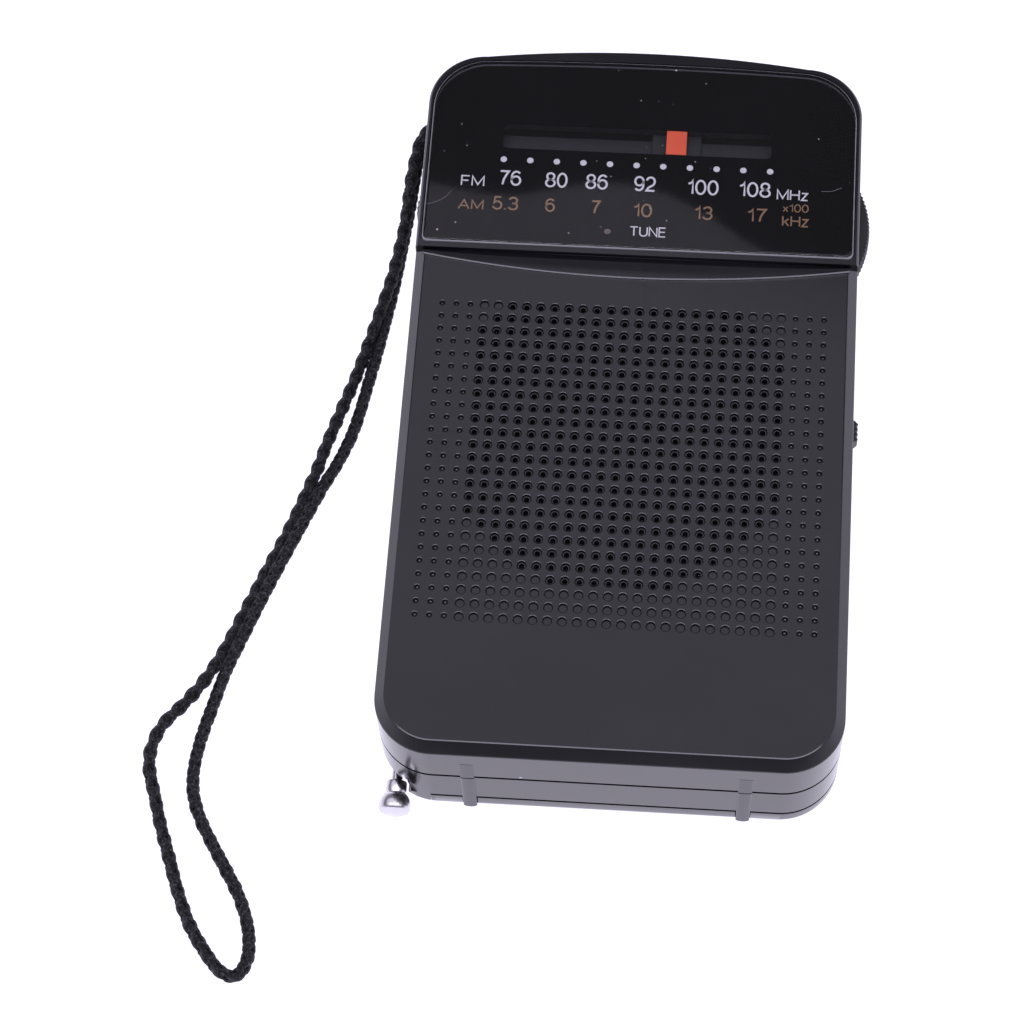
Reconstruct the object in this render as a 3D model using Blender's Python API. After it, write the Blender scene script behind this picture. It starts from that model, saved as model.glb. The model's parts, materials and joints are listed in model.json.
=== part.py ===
"""Transistor pocket radio, lying on its back on the plane z = 0.

X runs across the width, +Y towards the dial end, +Z out of the front face.
Sizes are in millimetres; new_object() turns them into Blender's metres.
"""

import math

import bmesh
import bpy
from mathutils import Matrix, Vector

MM = 0.001

# Driving dimensions of the case
WIDTH = 70.0
LENGTH = 122.6
FACE_Z = 24.1  # front of the grille half
DIAL_RIM_Z = 24.4  # front of the rim around the dial lens
PARTING_Z = 13.4  # joint between the front and the back cabinet
WALL = 1.6
CORNER = 9.0  # radius of the four corners, seen from the front
TOP_BOW = 1.8  # how far the top end bulges at its middle
CORNER_STEPS = 6
HALF = WIDTH / 2
BOTTOM = -LENGTH / 2
SHOULDER = LENGTH / 2 - TOP_BOW  # top end at its corners
GAP = 0.3  # air between pieces that touch

# Dial half
LENS_BOTTOM = 24.2
LENS_TOP = SHOULDER - 1.0
LENS_HALF = HALF - 0.7
DIAL_FLOOR = (20.9, 22.3)  # the cabinet's shelf behind the dial plate
RAMP_TOP = 23.3  # the scoop between the lens rim and the grille face
RAMP_SIDE = 22.2
RAMP_MIDDLE = 19.1
RAMP_DEPTH = 1.2
SLOT_X = (-22.6, 20.7)  # window that the pointer runs behind
SLOT_Y = 45.3
SLOT_HEIGHT = 4.8
LED_X, LED_Y = -4.8, 28.3

# Speaker
SPEAKER_X, SPEAKER_Y = -1.1, -6.6
SPEAKER_RADIUS = 28.5

# Tuning drive
WHEEL_X, WHEEL_Y, WHEEL_RADIUS = 19.5, 34.2, 17.6
WHEEL_Z = (13.7, 16.6)
CORD_RADIUS = 12.45  # dial cord's radius on the drum: half a turn is the whole scale
CORD_Z = 17.7
PULLEY_X, PULLEY_RADIUS = -27.0, 3.0
PULLEY_Y = WHEEL_Y + CORD_RADIUS - PULLEY_RADIUS
POINTER_X = 5.4
POINTER_SIZE = (3.3, 4.4)

# Volume control and band switch
VOLUME_X, VOLUME_Y, VOLUME_RADIUS = -27.2, 35.2, 9.0
SWITCH_Y, SWITCH_KNOB, SWITCH_TRAVEL = -1.7, 4.0, 3.0

# Batteries and their door
DOOR_X, DOOR_Y, DOOR_Z = -26.9, -27.5, 4.9
CELL_RADIUS, CELL_LENGTH = 7.25, 49.3
CELL_X = -23.6  # flat end of the first cell
CELL_Z = 9.4
CELL_YS = (-51.9, -37.1)
TRAY_Y = -28.6
FOOT_XS = (-20.8, 20.8)
FOOT_HALF = 1.05  # half the width of a foot rib
FOOT_Z = (1.9, 18.6)
FOOT_OUT = 0.62  # how far a rib stands out at the back

# Telescopic antenna, folded along the left edge of the back
ANTENNA_X, ANTENNA_Z = -32.3, 3.1
ANTENNA_PIVOT_Y = 52.5
SECTIONS = ((2.5, 2.2), (2.05, 1.8), (1.65, 1.4), (1.25, 1.0))  # outer and inner radius
SECTION_END_Y = -54.0
SECTION_BASE_Y = 47.0
RABBET_X, RABBET_Z = -29.2, 6.7
NARROW_X, NARROW_Y = -30.5, -55.8  # the rabbet round the rod, beyond the sections' ends
SCOOP = (-32.0, -63.1, 5.3)  # centre of the finger scoop beside the rod
SCOOP_RADIUS = 4.0

# Circuit board
BOARD_Z = (5.6, 7.0)
PART_Z = BOARD_Z[1] + 0.25  # underside of the parts on the board

SCREWS = ((-22.0, 54.0), (28.0, 54.0), (-24.8, 18.5), (29.6, -24.0))
POST_RADIUS = 2.2

# Wrist strap
STRAP_DIAMETER = 2.0
STRAP_EXIT_Y = 52.6
STRAP_ROUTE = (
    (-33.3, 52.6, 12.1), (-35.2, 52.6, 12.1), (-36.9, 51.0, 11.4), (-37.7, 48.0, 10.6),
    (-38.3, 44.0, 9.3), (-38.8, 38.0, 7.0), (-39.6, 33.0, 5.2), (-40.6, 28.0, 3.9),
    (-41.8, 23.7, 2.9), (-43.4, 17.7, 1.7), (-45.3, 10.8, 1.05), (-47.5, 3.3, 1.05),
    (-49.0, -2.0, 1.05), (-50.3, -7.2, 1.05), (-53.7, -17.6, 1.05), (-56.35, -24.4, 1.05),
    (-58.8, -30.9, 1.05), (-61.0, -36.8, 1.05), (-63.6, -42.4, 1.05), (-66.5, -46.9, 1.05),
    (-69.7, -50.9, 1.05), (-71.1, -54.8, 1.05), (-71.0, -58.5, 1.05), (-69.7, -62.7, 1.05),
    (-68.3, -67.2, 1.05), (-66.3, -72.6, 1.05), (-64.3, -78.0, 1.05), (-61.9, -83.1, 1.05),
    (-59.0, -87.3, 1.05), (-56.6, -89.9, 1.05), (-54.3, -90.6, 1.05), (-52.8, -88.6, 1.05),
    (-52.6, -85.6, 1.05), (-53.4, -81.8, 1.05), (-55.1, -77.8, 1.05), (-57.4, -74.0, 1.05),
    (-60.0, -69.9, 1.05), (-62.2, -66.1, 1.05), (-63.7, -62.2, 1.05), (-64.1, -57.9, 1.05),
    (-63.5, -52.8, 1.05), (-62.4, -47.8, 1.05), (-60.9, -42.0, 1.5), (-58.85, -36.4, 2.2),
    (-56.55, -30.0, 2.25), (-54.2, -23.6, 2.25), (-51.9, -17.8, 2.2), (-48.9, -9.7, 1.6),
    (-46.9, -5.0, 1.1), (-45.2, -0.4, 1.05), (-44.1, 4.0, 1.05), (-42.9, 10.9, 1.05),
    (-41.7, 18.3, 1.05), (-40.8, 24.5, 1.05), (-40.2, 29.0, 1.4), (-39.4, 34.5, 2.8),
    (-38.7, 39.5, 4.6), (-38.0, 45.0, 6.9), (-37.5, 49.0, 8.4), (-36.9, 51.5, 9.2),
    (-35.2, 53.0, 9.8), (-33.3, 53.0, 9.8),
)
STRAP_POINTS = 78

MATERIALS = {  # colour, roughness, metallic
    "black_gloss": ((0.035, 0.035, 0.04), 0.22, 0.0),
    "black_satin": ((0.03, 0.03, 0.032), 0.5, 0.0),
    "clear_lens": ((0.55, 0.57, 0.6), 0.05, 0.0),
    "dial_print": ((0.01, 0.01, 0.012), 0.35, 0.0),
    "pointer_orange": ((0.85, 0.13, 0.05), 0.4, 0.0),
    "inner_plastic": ((0.1, 0.1, 0.1), 0.55, 0.0),
    "white_nylon": ((0.75, 0.74, 0.7), 0.5, 0.0),
    "red_led": ((0.5, 0.03, 0.02), 0.2, 0.0),
    "chrome": ((0.8, 0.8, 0.82), 0.08, 1.0),
    "plated_steel": ((0.6, 0.6, 0.58), 0.3, 1.0),
    "brass": ((0.75, 0.55, 0.25), 0.3, 1.0),
    "speaker_steel": ((0.35, 0.36, 0.36), 0.4, 1.0),
    "speaker_magnet": ((0.06, 0.06, 0.06), 0.7, 0.0),
    "speaker_paper": ((0.05, 0.05, 0.05), 0.9, 0.0),
    "bare_aluminium": ((0.75, 0.75, 0.76), 0.3, 1.0),
    "dust_cloth": ((0.02, 0.02, 0.02), 0.95, 0.0),
    "board_brown": ((0.33, 0.2, 0.08), 0.6, 0.0),
    "ic_epoxy": ((0.03, 0.03, 0.03), 0.6, 0.0),
    "ferrite": ((0.08, 0.08, 0.085), 0.6, 0.0),
    "copper_wire": ((0.7, 0.3, 0.15), 0.3, 1.0),
    "capacitor_sleeve": ((0.05, 0.08, 0.3), 0.4, 0.0),
    "cell_jacket": ((0.1, 0.2, 0.12), 0.35, 0.0),
    "dial_cord": ((0.7, 0.68, 0.6), 0.8, 0.0),
    "wire_red": ((0.45, 0.03, 0.03), 0.4, 0.0),
    "wire_black": ((0.03, 0.03, 0.03), 0.4, 0.0),
    "strap_nylon": ((0.03, 0.03, 0.032), 0.75, 0.0),
}


# ---------------------------------------------------------------- helpers


def clear_scene():
    for item in list(bpy.data.objects):
        bpy.data.objects.remove(item, do_unlink=True)


def material(name):
    found = bpy.data.materials.get(name)
    if found:
        return found
    colour, roughness, metallic = MATERIALS[name]
    made = bpy.data.materials.new(name)
    made.use_nodes = True
    shader = made.node_tree.nodes["Principled BSDF"]
    shader.inputs["Base Color"].default_value = (*colour, 1.0)
    shader.inputs["Roughness"].default_value = roughness
    shader.inputs["Metallic"].default_value = metallic
    return made


def new_object(name, bm, material_name, pivot=(0, 0, 0), smooth=False):
    """An object from a bmesh in millimetres, with its origin at pivot."""
    bmesh.ops.recalc_face_normals(bm, faces=bm.faces)
    bmesh.ops.translate(bm, verts=bm.verts, vec=-Vector(pivot))
    bmesh.ops.scale(bm, verts=bm.verts, vec=(MM, MM, MM))
    mesh = bpy.data.meshes.new(name)
    bm.to_mesh(mesh)
    bm.free()
    if smooth:
        mesh.shade_smooth()
        mesh.set_sharp_from_angle(angle=math.radians(35))
    made = bpy.data.objects.new(name, mesh)
    made.location = Vector(pivot) * MM
    bpy.context.scene.collection.objects.link(made)
    made.data.materials.append(material(material_name))
    return made


def arc(centre, radius, start, end, steps):
    """Points along an arc, angles in degrees, both ends included."""
    turns = [math.radians(start + (end - start) * i / steps) for i in range(steps + 1)]
    return [(centre[0] + radius * math.cos(t), centre[1] + radius * math.sin(t)) for t in turns]


def rounded_rectangle(low, high, radii, steps=4):
    """Outline from the bottom left corner; radii in the order BL, BR, TR, TL."""
    x0, y0 = low
    x1, y1 = high
    r = radii
    corners = (
        ((x0 + r[0], y0 + r[0]), r[0], 180),
        ((x1 - r[1], y0 + r[1]), r[1], 270),
        ((x1 - r[2], y1 - r[2]), r[2], 0),
        ((x0 + r[3], y1 - r[3]), r[3], 90),
    )
    points = []
    for centre, radius, start in corners:
        points += arc(centre, radius, start, start + 90, steps) if radius else [centre]
    return points


def loft(rings):
    """A closed body through rings of equally many 3-D points."""
    bm = bmesh.new()
    loops = [[bm.verts.new(point) for point in ring] for ring in rings]
    count = len(loops[0])
    for lower, upper in zip(loops, loops[1:]):
        for i in range(count):
            j = (i + 1) % count
            bm.faces.new((lower[i], lower[j], upper[j], upper[i]))
    bm.faces.new(reversed(loops[0]))
    bm.faces.new(loops[-1])
    return bm


def prism(outline, z0, z1):
    return loft([[(x, y, z) for x, y in outline] for z in (z0, z1)])


def box(low, high):
    (x0, y0, z0), (x1, y1, z1) = low, high
    return prism([(x0, y0), (x1, y0), (x1, y1), (x0, y1)], z0, z1)


def turned(profile, steps=24, centre=(0, 0), closed=False):
    """A body of revolution about Z from (radius, z) points.

    An open profile starts and ends on the axis; a closed one is a ring's section.
    """
    bm = bmesh.new()
    verts = [bm.verts.new((r, 0, z)) for r, z in profile]
    pairs = list(zip(verts, verts[1:]))
    if closed:
        pairs.append((verts[-1], verts[0]))
    edges = [bm.edges.new(pair) for pair in pairs]
    bmesh.ops.spin(
        bm, geom=verts + edges, cent=(0, 0, 0), axis=(0, 0, 1), dvec=(0, 0, 0),
        angle=math.tau, steps=steps, use_merge=True,
    )
    bmesh.ops.remove_doubles(bm, verts=bm.verts, dist=0.001)
    bmesh.ops.translate(bm, verts=bm.verts, vec=(centre[0], centre[1], 0))
    return bm


def cylinder(radius, z0, z1, centre=(0, 0), steps=24):
    return turned([(0, z0), (radius, z0), (radius, z1), (0, z1)], steps, centre)


def laid(bm, axis):
    """Turn a bmesh that stands along Z so that it lies along X or Y."""
    angle, about = (90, "Y") if axis == "X" else (-90, "X")
    turn = Matrix.Rotation(math.radians(angle), 4, about)
    bmesh.ops.transform(bm, matrix=turn, verts=bm.verts)
    return bm


def moved(bm, x=0.0, y=0.0, z=0.0):
    bmesh.ops.translate(bm, verts=bm.verts, vec=(x, y, z))
    return bm


def sphere(radius, centre):
    bm = bmesh.new()
    bmesh.ops.create_uvsphere(bm, u_segments=20, v_segments=12, radius=radius)
    return moved(bm, *centre)


def combine(target, operation, *tools):
    """Join bmeshes to an object, or cut them out of it."""
    for bm in tools:
        tool = new_object("tool", bm, target.data.materials[0].name)
        modifier = target.modifiers.new("combine", "BOOLEAN")
        modifier.operation = operation
        modifier.object = tool
        bpy.context.view_layer.update()
        depsgraph = bpy.context.evaluated_depsgraph_get()
        mesh = bpy.data.meshes.new_from_object(target.evaluated_get(depsgraph))
        target.modifiers.clear()
        target.data = mesh
        bpy.data.objects.remove(tool, do_unlink=True)
    return target


def cut(target, *tools):
    return combine(target, "DIFFERENCE", *tools)


def join(target, *tools):
    return combine(target, "UNION", *tools)


def tube_along(name, points, diameter, material_name, cyclic=False):
    """A round cord or wire through points in millimetres."""
    curve = bpy.data.curves.new(name, "CURVE")
    curve.dimensions = "3D"
    curve.bevel_depth = diameter / 2 * MM
    curve.bevel_resolution = 2
    curve.use_fill_caps = not cyclic
    spline = curve.splines.new("POLY")
    spline.points.add(len(points) - 1)
    for slot, point in zip(spline.points, points):
        slot.co = (*(Vector(point) * MM), 1.0)
    spline.use_cyclic_u = cyclic
    made = bpy.data.objects.new(name, curve)
    bpy.context.scene.collection.objects.link(made)
    curve.materials.append(material(material_name))
    return made


def smooth_route(route, count):
    """count points, evenly spaced, on a Catmull-Rom curve through the route's points."""
    knots = [Vector(point) for point in route]
    knots = [2 * knots[0] - knots[1], *knots, 2 * knots[-1] - knots[-2]]
    fine = []
    for a, b, c, d in zip(knots, knots[1:], knots[2:], knots[3:]):
        for i in range(12):
            t = i / 12
            fine.append(0.5 * (2 * b + (c - a) * t + (2 * a - 5 * b + 4 * c - d) * t**2
                               + (3 * b - a - 3 * c + d) * t**3))
    fine.append(knots[-2])
    lengths = [0.0]
    for a, b in zip(fine, fine[1:]):
        lengths.append(lengths[-1] + (b - a).length)
    points = []
    index = 0
    for i in range(count):
        wanted = lengths[-1] * i / (count - 1)
        while index < len(fine) - 2 and lengths[index + 1] < wanted:
            index += 1
        share = (wanted - lengths[index]) / (lengths[index + 1] - lengths[index])
        points.append(fine[index].lerp(fine[index + 1], min(share, 1.0)))
    return points


# ---------------------------------------------------------------- case


def case_outline(grille_inset, dial_inset):
    """The case seen from the front, moved inwards by one inset below the lens and one beside it."""
    centre_x = HALF - CORNER
    low_y, high_y = BOTTOM + CORNER, SHOULDER - CORNER
    points = arc((-centre_x, low_y), CORNER - grille_inset, 180, 270, CORNER_STEPS)
    points += arc((centre_x, low_y), CORNER - grille_inset, 270, 360, CORNER_STEPS)
    points += [(HALF - grille_inset, RAMP_SIDE), (HALF - dial_inset, RAMP_TOP)]
    points += arc((centre_x, high_y), CORNER - dial_inset, 0, 90, CORNER_STEPS)
    bow_steps = 8
    for i in range(1, bow_steps):
        x = centre_x * (1 - 2 * i / bow_steps)
        points.append((x, SHOULDER - dial_inset + TOP_BOW * (1 - (x / centre_x) ** 2)))
    points += arc((-centre_x, high_y), CORNER - dial_inset, 90, 180, CORNER_STEPS)
    points += [(-HALF + dial_inset, RAMP_TOP), (-HALF + grille_inset, RAMP_SIDE)]
    return points


def even_ring(inset, z):
    return [(x, y, z) for x, y in case_outline(inset, inset)]


def lens_outline(inset):
    low = (-LENS_HALF + inset, LENS_BOTTOM + inset)
    high = (LENS_HALF - inset, LENS_TOP - inset)
    return rounded_rectangle(low, high, (1.0, 1.0, CORNER - inset, CORNER - inset))


def pointer_window():
    low = (SLOT_X[0], SLOT_Y - SLOT_HEIGHT / 2)
    high = (SLOT_X[1], SLOT_Y + SLOT_HEIGHT / 2)
    return rounded_rectangle(low, high, (0.5,) * 4)


def foot_rib(x, z0, z1):
    """One of the two ribs on the bottom end that the radio stands on; it fades out towards the front."""
    rings = []
    for z in (z0, z1):
        out = 0.03 + FOOT_OUT * (FOOT_Z[1] - z) / (FOOT_Z[1] - FOOT_Z[0])
        edge_y, middle_y = BOTTOM - out * 0.6, BOTTOM - out
        outline = (
            (x + FOOT_HALF, BOTTOM + WALL / 2), (x - FOOT_HALF, BOTTOM + WALL / 2), (x - FOOT_HALF, edge_y),
            (x - FOOT_HALF / 2, middle_y), (x + FOOT_HALF / 2, middle_y), (x + FOOT_HALF, edge_y),
        )
        rings.append([(px, py, z) for px, py in outline])
    return loft(rings)


def front_cabinet():
    chamfer_depth, chamfer_width = 1.8, 1.55
    dial_chamfer_depth, dial_chamfer_width = 0.5, 0.4
    above = DIAL_RIM_Z + 5
    width_at_rim = chamfer_width * (DIAL_RIM_Z - FACE_Z + chamfer_depth) / chamfer_depth
    shoulder_ring = [
        (x, y, DIAL_RIM_Z - dial_chamfer_depth if y >= RAMP_TOP else FACE_Z - chamfer_depth)
        for x, y in case_outline(0, 0)
    ]
    rim_ring = [(x, y, DIAL_RIM_Z) for x, y in case_outline(width_at_rim, dial_chamfer_width)]
    block = loft([even_ring(0, PARTING_Z), shoulder_ring, rim_ring])
    cabinet = new_object("front_cabinet", block, "black_gloss")
    cut(cabinet, box((-HALF - 5, BOTTOM - 5, FACE_Z), (HALF + 5, RAMP_TOP, above)))

    ramp = []
    for i in range(13):
        x = (HALF + 2) * (i / 6 - 1)
        y = RAMP_MIDDLE + (RAMP_SIDE - RAMP_MIDDLE) * (x / HALF) ** 2
        ramp.append([(x, y, FACE_Z + 0.02), (x, RAMP_TOP, FACE_Z - RAMP_DEPTH),
                     (x, RAMP_TOP, above), (x, y, above)])
    cut(cabinet, loft(ramp))

    hollow = [(x, y) for x, y in case_outline(WALL, WALL)]
    speaker_bay = rounded_rectangle((-HALF + WALL, BOTTOM + WALL), (HALF - WALL, 22.4),
                                    (CORNER - WALL, CORNER - WALL, 0, 0))
    cut(
        cabinet,
        prism(hollow, PARTING_Z - 1, DIAL_FLOOR[0]),
        prism(speaker_bay, PARTING_Z - 1, FACE_Z - WALL),
        prism(lens_outline(0), DIAL_FLOOR[1], above),
        prism(pointer_window(), DIAL_FLOOR[0] - 1, DIAL_FLOOR[1] + 1),
        cylinder(0.8, DIAL_FLOOR[0] - 1, DIAL_FLOOR[1] + 1, (LED_X, LED_Y), 8),
        cylinder(WHEEL_RADIUS + 0.4, PARTING_Z - 1, WHEEL_Z[1] + 0.4, (WHEEL_X, WHEEL_Y), 40),
        cylinder(VOLUME_RADIUS + 0.4, PARTING_Z - 1, WHEEL_Z[1] + 0.1, (VOLUME_X, VOLUME_Y), 32),
        box((HALF - 3, SWITCH_Y - SWITCH_KNOB / 2 - GAP, PARTING_Z - 1),
            (HALF + 2, SWITCH_Y + SWITCH_KNOB / 2 + SWITCH_TRAVEL + GAP, 16.5)),
    )
    join(cabinet, *[foot_rib(x, PARTING_Z, FOOT_Z[1]) for x in FOOT_XS])
    post_bottom = 3.7
    for x, y in SCREWS:
        roof = DIAL_FLOOR[0] if y > 20 else FACE_Z - WALL
        join(cabinet, cylinder(POST_RADIUS, post_bottom, roof + 0.5, (x, y), 16))
        cut(cabinet, cylinder(1.2, post_bottom - 1, 10.0, (x, y), 12))
    join(cabinet, cylinder(0.9, 16.6, DIAL_FLOOR[0] + 0.5, (PULLEY_X, PULLEY_Y), 12))
    return cabinet


def back_shape():
    """The back half as one block, its lower edge rounded."""
    edge = ((2.2, 0.0), (0.9, 0.5), (0.3, 1.2), (0.0, 2.2), (0.0, PARTING_Z - GAP))
    return loft([even_ring(inset, z) for inset, z in edge])


def back_cabinet():
    cabinet = new_object("back_cabinet", back_shape(), "black_gloss")
    rabbet_roof = RABBET_Z + WALL
    low_hollow = rounded_rectangle((RABBET_X + WALL, BOTTOM + WALL), (HALF - WALL, 57.5),
                                   (0, CORNER - WALL, CORNER - WALL, 0))
    cut(
        cabinet,
        prism(case_outline(WALL, WALL), rabbet_roof, PARTING_Z + 1),
        prism(low_hollow, WALL, rabbet_roof + 0.1),
        box((-HALF - 2, NARROW_Y, -1), (RABBET_X, SHOULDER + 5, RABBET_Z)),
        box((-HALF - 2, BOTTOM - 5, -1), (NARROW_X, NARROW_Y + 0.1, RABBET_Z)),
        moved(laid(cylinder(SECTIONS[0][0] - 0.2, BOTTOM - 5, NARROW_Y + 0.1, steps=24), "Y"),
              x=ANTENNA_X, z=ANTENNA_Z),
        sphere(SCOOP_RADIUS, SCOOP),
        box((DOOR_X, BOTTOM - 5, -1), (HALF + 2, DOOR_Y, DOOR_Z)),
        box((-HALF - 2, STRAP_EXIT_Y - 2.4, 8.5), (-HALF + 3, STRAP_EXIT_Y + 2.0, PARTING_Z + 1)),
        moved(laid(cylinder(1.9, -HALF - 2, -HALF + 4, steps=16), "X"), y=6.0, z=10.9),
        moved(laid(cylinder(1.2, RABBET_X - 1, RABBET_X + 3, steps=12), "X"),
              y=ANTENNA_PIVOT_Y, z=ANTENNA_Z),
    )
    boss_top = 3.4
    for x, y in SCREWS:
        join(cabinet, cylinder(2.7, 0.8, boss_top, (x, y), 16))
        cut(cabinet, cylinder(2.4, -1, 1.3, (x, y), 16), cylinder(1.3, 1, boss_top + 1, (x, y), 12))
    join(cabinet, *[foot_rib(x, FOOT_Z[0], PARTING_Z - GAP) for x in FOOT_XS])
    return cabinet


def battery_door():
    door = new_object("battery_door", back_shape(), "black_gloss")
    inside = rounded_rectangle((DOOR_X - 5, BOTTOM + WALL), (HALF - WALL, DOOR_Y + 5),
                               (0, CORNER - WALL, 0, 0))
    cut(
        door,
        box((-HALF - 5, BOTTOM - 5, DOOR_Z - GAP), (HALF + 5, HALF + LENGTH, PARTING_Z + 5)),
        box((-HALF - 5, BOTTOM - 5, -5), (DOOR_X + GAP, HALF + LENGTH, PARTING_Z)),
        box((-HALF - 5, DOOR_Y - GAP, -5), (HALF + 5, HALF + LENGTH, PARTING_Z)),
        prism(inside, WALL, PARTING_Z),
        *[box((x - FOOT_HALF - GAP, BOTTOM - 2, FOOT_Z[0] - GAP),
              (x + FOOT_HALF + GAP, BOTTOM + WALL + 0.5, PARTING_Z)) for x in FOOT_XS],
    )
    return door


def case_screws():
    for number, (x, y) in enumerate(SCREWS, 1):
        profile = [(0, 0.15), (2.1, 0.15), (2.1, 1.0), (0.9, 1.0), (0.9, 9.4), (0, 9.4)]
        new_object(f"case_screw_{number}", turned(profile, 16, (x, y)), "plated_steel", smooth=True)


# ---------------------------------------------------------------- dial and tuning drive


def dial():
    plate = new_object("dial_plate", prism(lens_outline(0.4), 22.55, 22.85), "dial_print")
    cut(plate, prism(pointer_window(), 22, 24), cylinder(0.8, 22, 24, (LED_X, LED_Y), 8))
    rings = [[(x, y, z) for x, y in lens_outline(inset)]
             for inset, z in ((0.15, 23.1), (0.15, 24.35), (0.4, 24.6))]
    new_object("dial_lens", loft(rings), "clear_lens")
    led = [(0, 16.9), (1.5, 16.9), (1.5, 20.2), (0.6, 20.8), (0.6, 22.7), (0, 22.7)]
    new_object("tuning_led", turned(led, 12, (LED_X, LED_Y)), "red_led", smooth=True)


def dial_pointer():
    """A carriage below the window, the flag that shows in it, and the clip on the dial cord."""
    half_x, half_y = POINTER_SIZE[0] / 2, POINTER_SIZE[1] / 2
    carriage = box((POINTER_X - 4, SLOT_Y - 2.9, 19.8), (POINTER_X + 4, SLOT_Y + 3.5, 20.6))
    flag = box((POINTER_X - half_x, SLOT_Y - half_y, 20.3), (POINTER_X + half_x, SLOT_Y + half_y, 22.75))
    clip = box((POINTER_X - 1.5, SLOT_Y + 2.1, 17.1), (POINTER_X + 1.5, SLOT_Y + 3.3, 20.0))
    pointer = new_object("dial_pointer", carriage, "pointer_orange", (POINTER_X, SLOT_Y, 20.2))
    join(pointer, flag, clip)


def tuning_wheel():
    centre = (WHEEL_X, WHEEL_Y)
    low, high = WHEEL_Z
    groove = CORD_RADIUS - 0.55
    profile = [
        (1.8, low), (WHEEL_RADIUS, low), (WHEEL_RADIUS, high), (groove, high), (groove, 18.8),
        (groove + 1, 18.8), (groove + 1, 19.3), (5.0, 19.3), (5.0, 18.0), (1.8, 18.0),
    ]
    pivot = (*centre, low)
    wheel = turned(profile, 48, centre, closed=True)
    new_object("tuning_wheel", wheel, "black_satin", pivot, smooth=True)
    new_object("tuning_shaft", cylinder(1.5, 11.3, 17.0, centre, 16), "brass", pivot, smooth=True)
    screw = [(0, 17.3), (1.4, 17.3), (1.4, 18.3), (3.0, 18.3), (3.0, 19.1), (0, 19.1)]
    new_object("tuning_wheel_screw", turned(screw, 16, centre), "plated_steel", pivot, smooth=True)


def dial_cord():
    """The loop around the wheel's drum and the pulley; its upper run passes through the pointer's clip."""
    drum, pulley = Vector((WHEEL_X, WHEEL_Y)), Vector((PULLEY_X, PULLEY_Y))
    span = pulley - drum
    heading = math.degrees(math.atan2(span.y, span.x))
    lower = heading + math.degrees(math.acos((CORD_RADIUS - PULLEY_RADIUS) / span.length))
    loop = arc(drum, CORD_RADIUS, 90, lower - 360, 20) + arc(pulley, PULLEY_RADIUS, lower, 90, 8)
    tube_along("dial_cord", [(x, y, CORD_Z) for x, y in loop], 0.5, "dial_cord", cyclic=True)


def cord_pulley():
    centre = (PULLEY_X, PULLEY_Y)
    groove = PULLEY_RADIUS - 0.55
    profile = [
        (1.2, 16.8), (3.5, 16.8), (3.5, 17.1), (groove, 17.1),
        (groove, 18.3), (3.5, 18.3), (3.5, 18.6), (1.2, 18.6),
    ]
    pulley = turned(profile, 24, centre, closed=True)
    new_object("cord_pulley", pulley, "white_nylon", (*centre, CORD_Z), smooth=True)


# ---------------------------------------------------------------- volume, band switch, earphone


def volume_control():
    centre = (VOLUME_X, VOLUME_Y)
    low = WHEEL_Z[0]
    pivot = (*centre, low)
    profile = [
        (1.8, low), (VOLUME_RADIUS, low), (VOLUME_RADIUS, 16.3),
        (3.2, 16.3), (3.2, 15.4), (1.8, 15.4),
    ]
    wheel = turned(profile, 40, centre, closed=True)
    new_object("volume_wheel", wheel, "black_satin", pivot, smooth=True)
    new_object("volume_shaft", cylinder(1.5, 10.9, 14.3, centre, 16), "brass", pivot, smooth=True)
    screw = [(0, 14.6), (1.4, 14.6), (1.4, 15.6), (2.6, 15.6), (2.6, 16.2), (0, 16.2)]
    new_object("volume_wheel_screw", turned(screw, 16, centre), "plated_steel", pivot, smooth=True)
    pot = new_object("volume_pot", box((-33.0, 29.7, 8.6), (-21.5, 40.7, 12.7)), "plated_steel")
    cut(pot, cylinder(1.8, 10.6, 14, centre, 16))


def band_switch():
    half_knob = SWITCH_KNOB / 2
    grip = box((33.2, SWITCH_Y - half_knob, 13.75), (36.05, SWITCH_Y + half_knob, 16.1))
    knob = new_object("band_switch_knob", grip, "black_satin", (HALF, SWITCH_Y, 14.9))
    join(knob, box((31.4, SWITCH_Y - 1.0, 14.2), (33.5, SWITCH_Y + 1.0, 15.6)))
    body = new_object("band_switch_body", box((27.4, -7.5, 12.2), (32.8, 7.0, 17.6)), "inner_plastic")
    cut(body, box((31.0, SWITCH_Y - 1.4, 13.8), (34.0, SWITCH_Y + 1.4 + SWITCH_TRAVEL, 16.0)))


def earphone_jack():
    jack = new_object("earphone_jack", box((-33.1, 3.0, 8.6), (-22.0, 9.0, 13.0)), "inner_plastic")
    cut(jack, moved(laid(cylinder(1.75, -35, -24, steps=16), "X"), y=6.0, z=10.9))


# ---------------------------------------------------------------- circuit


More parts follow.
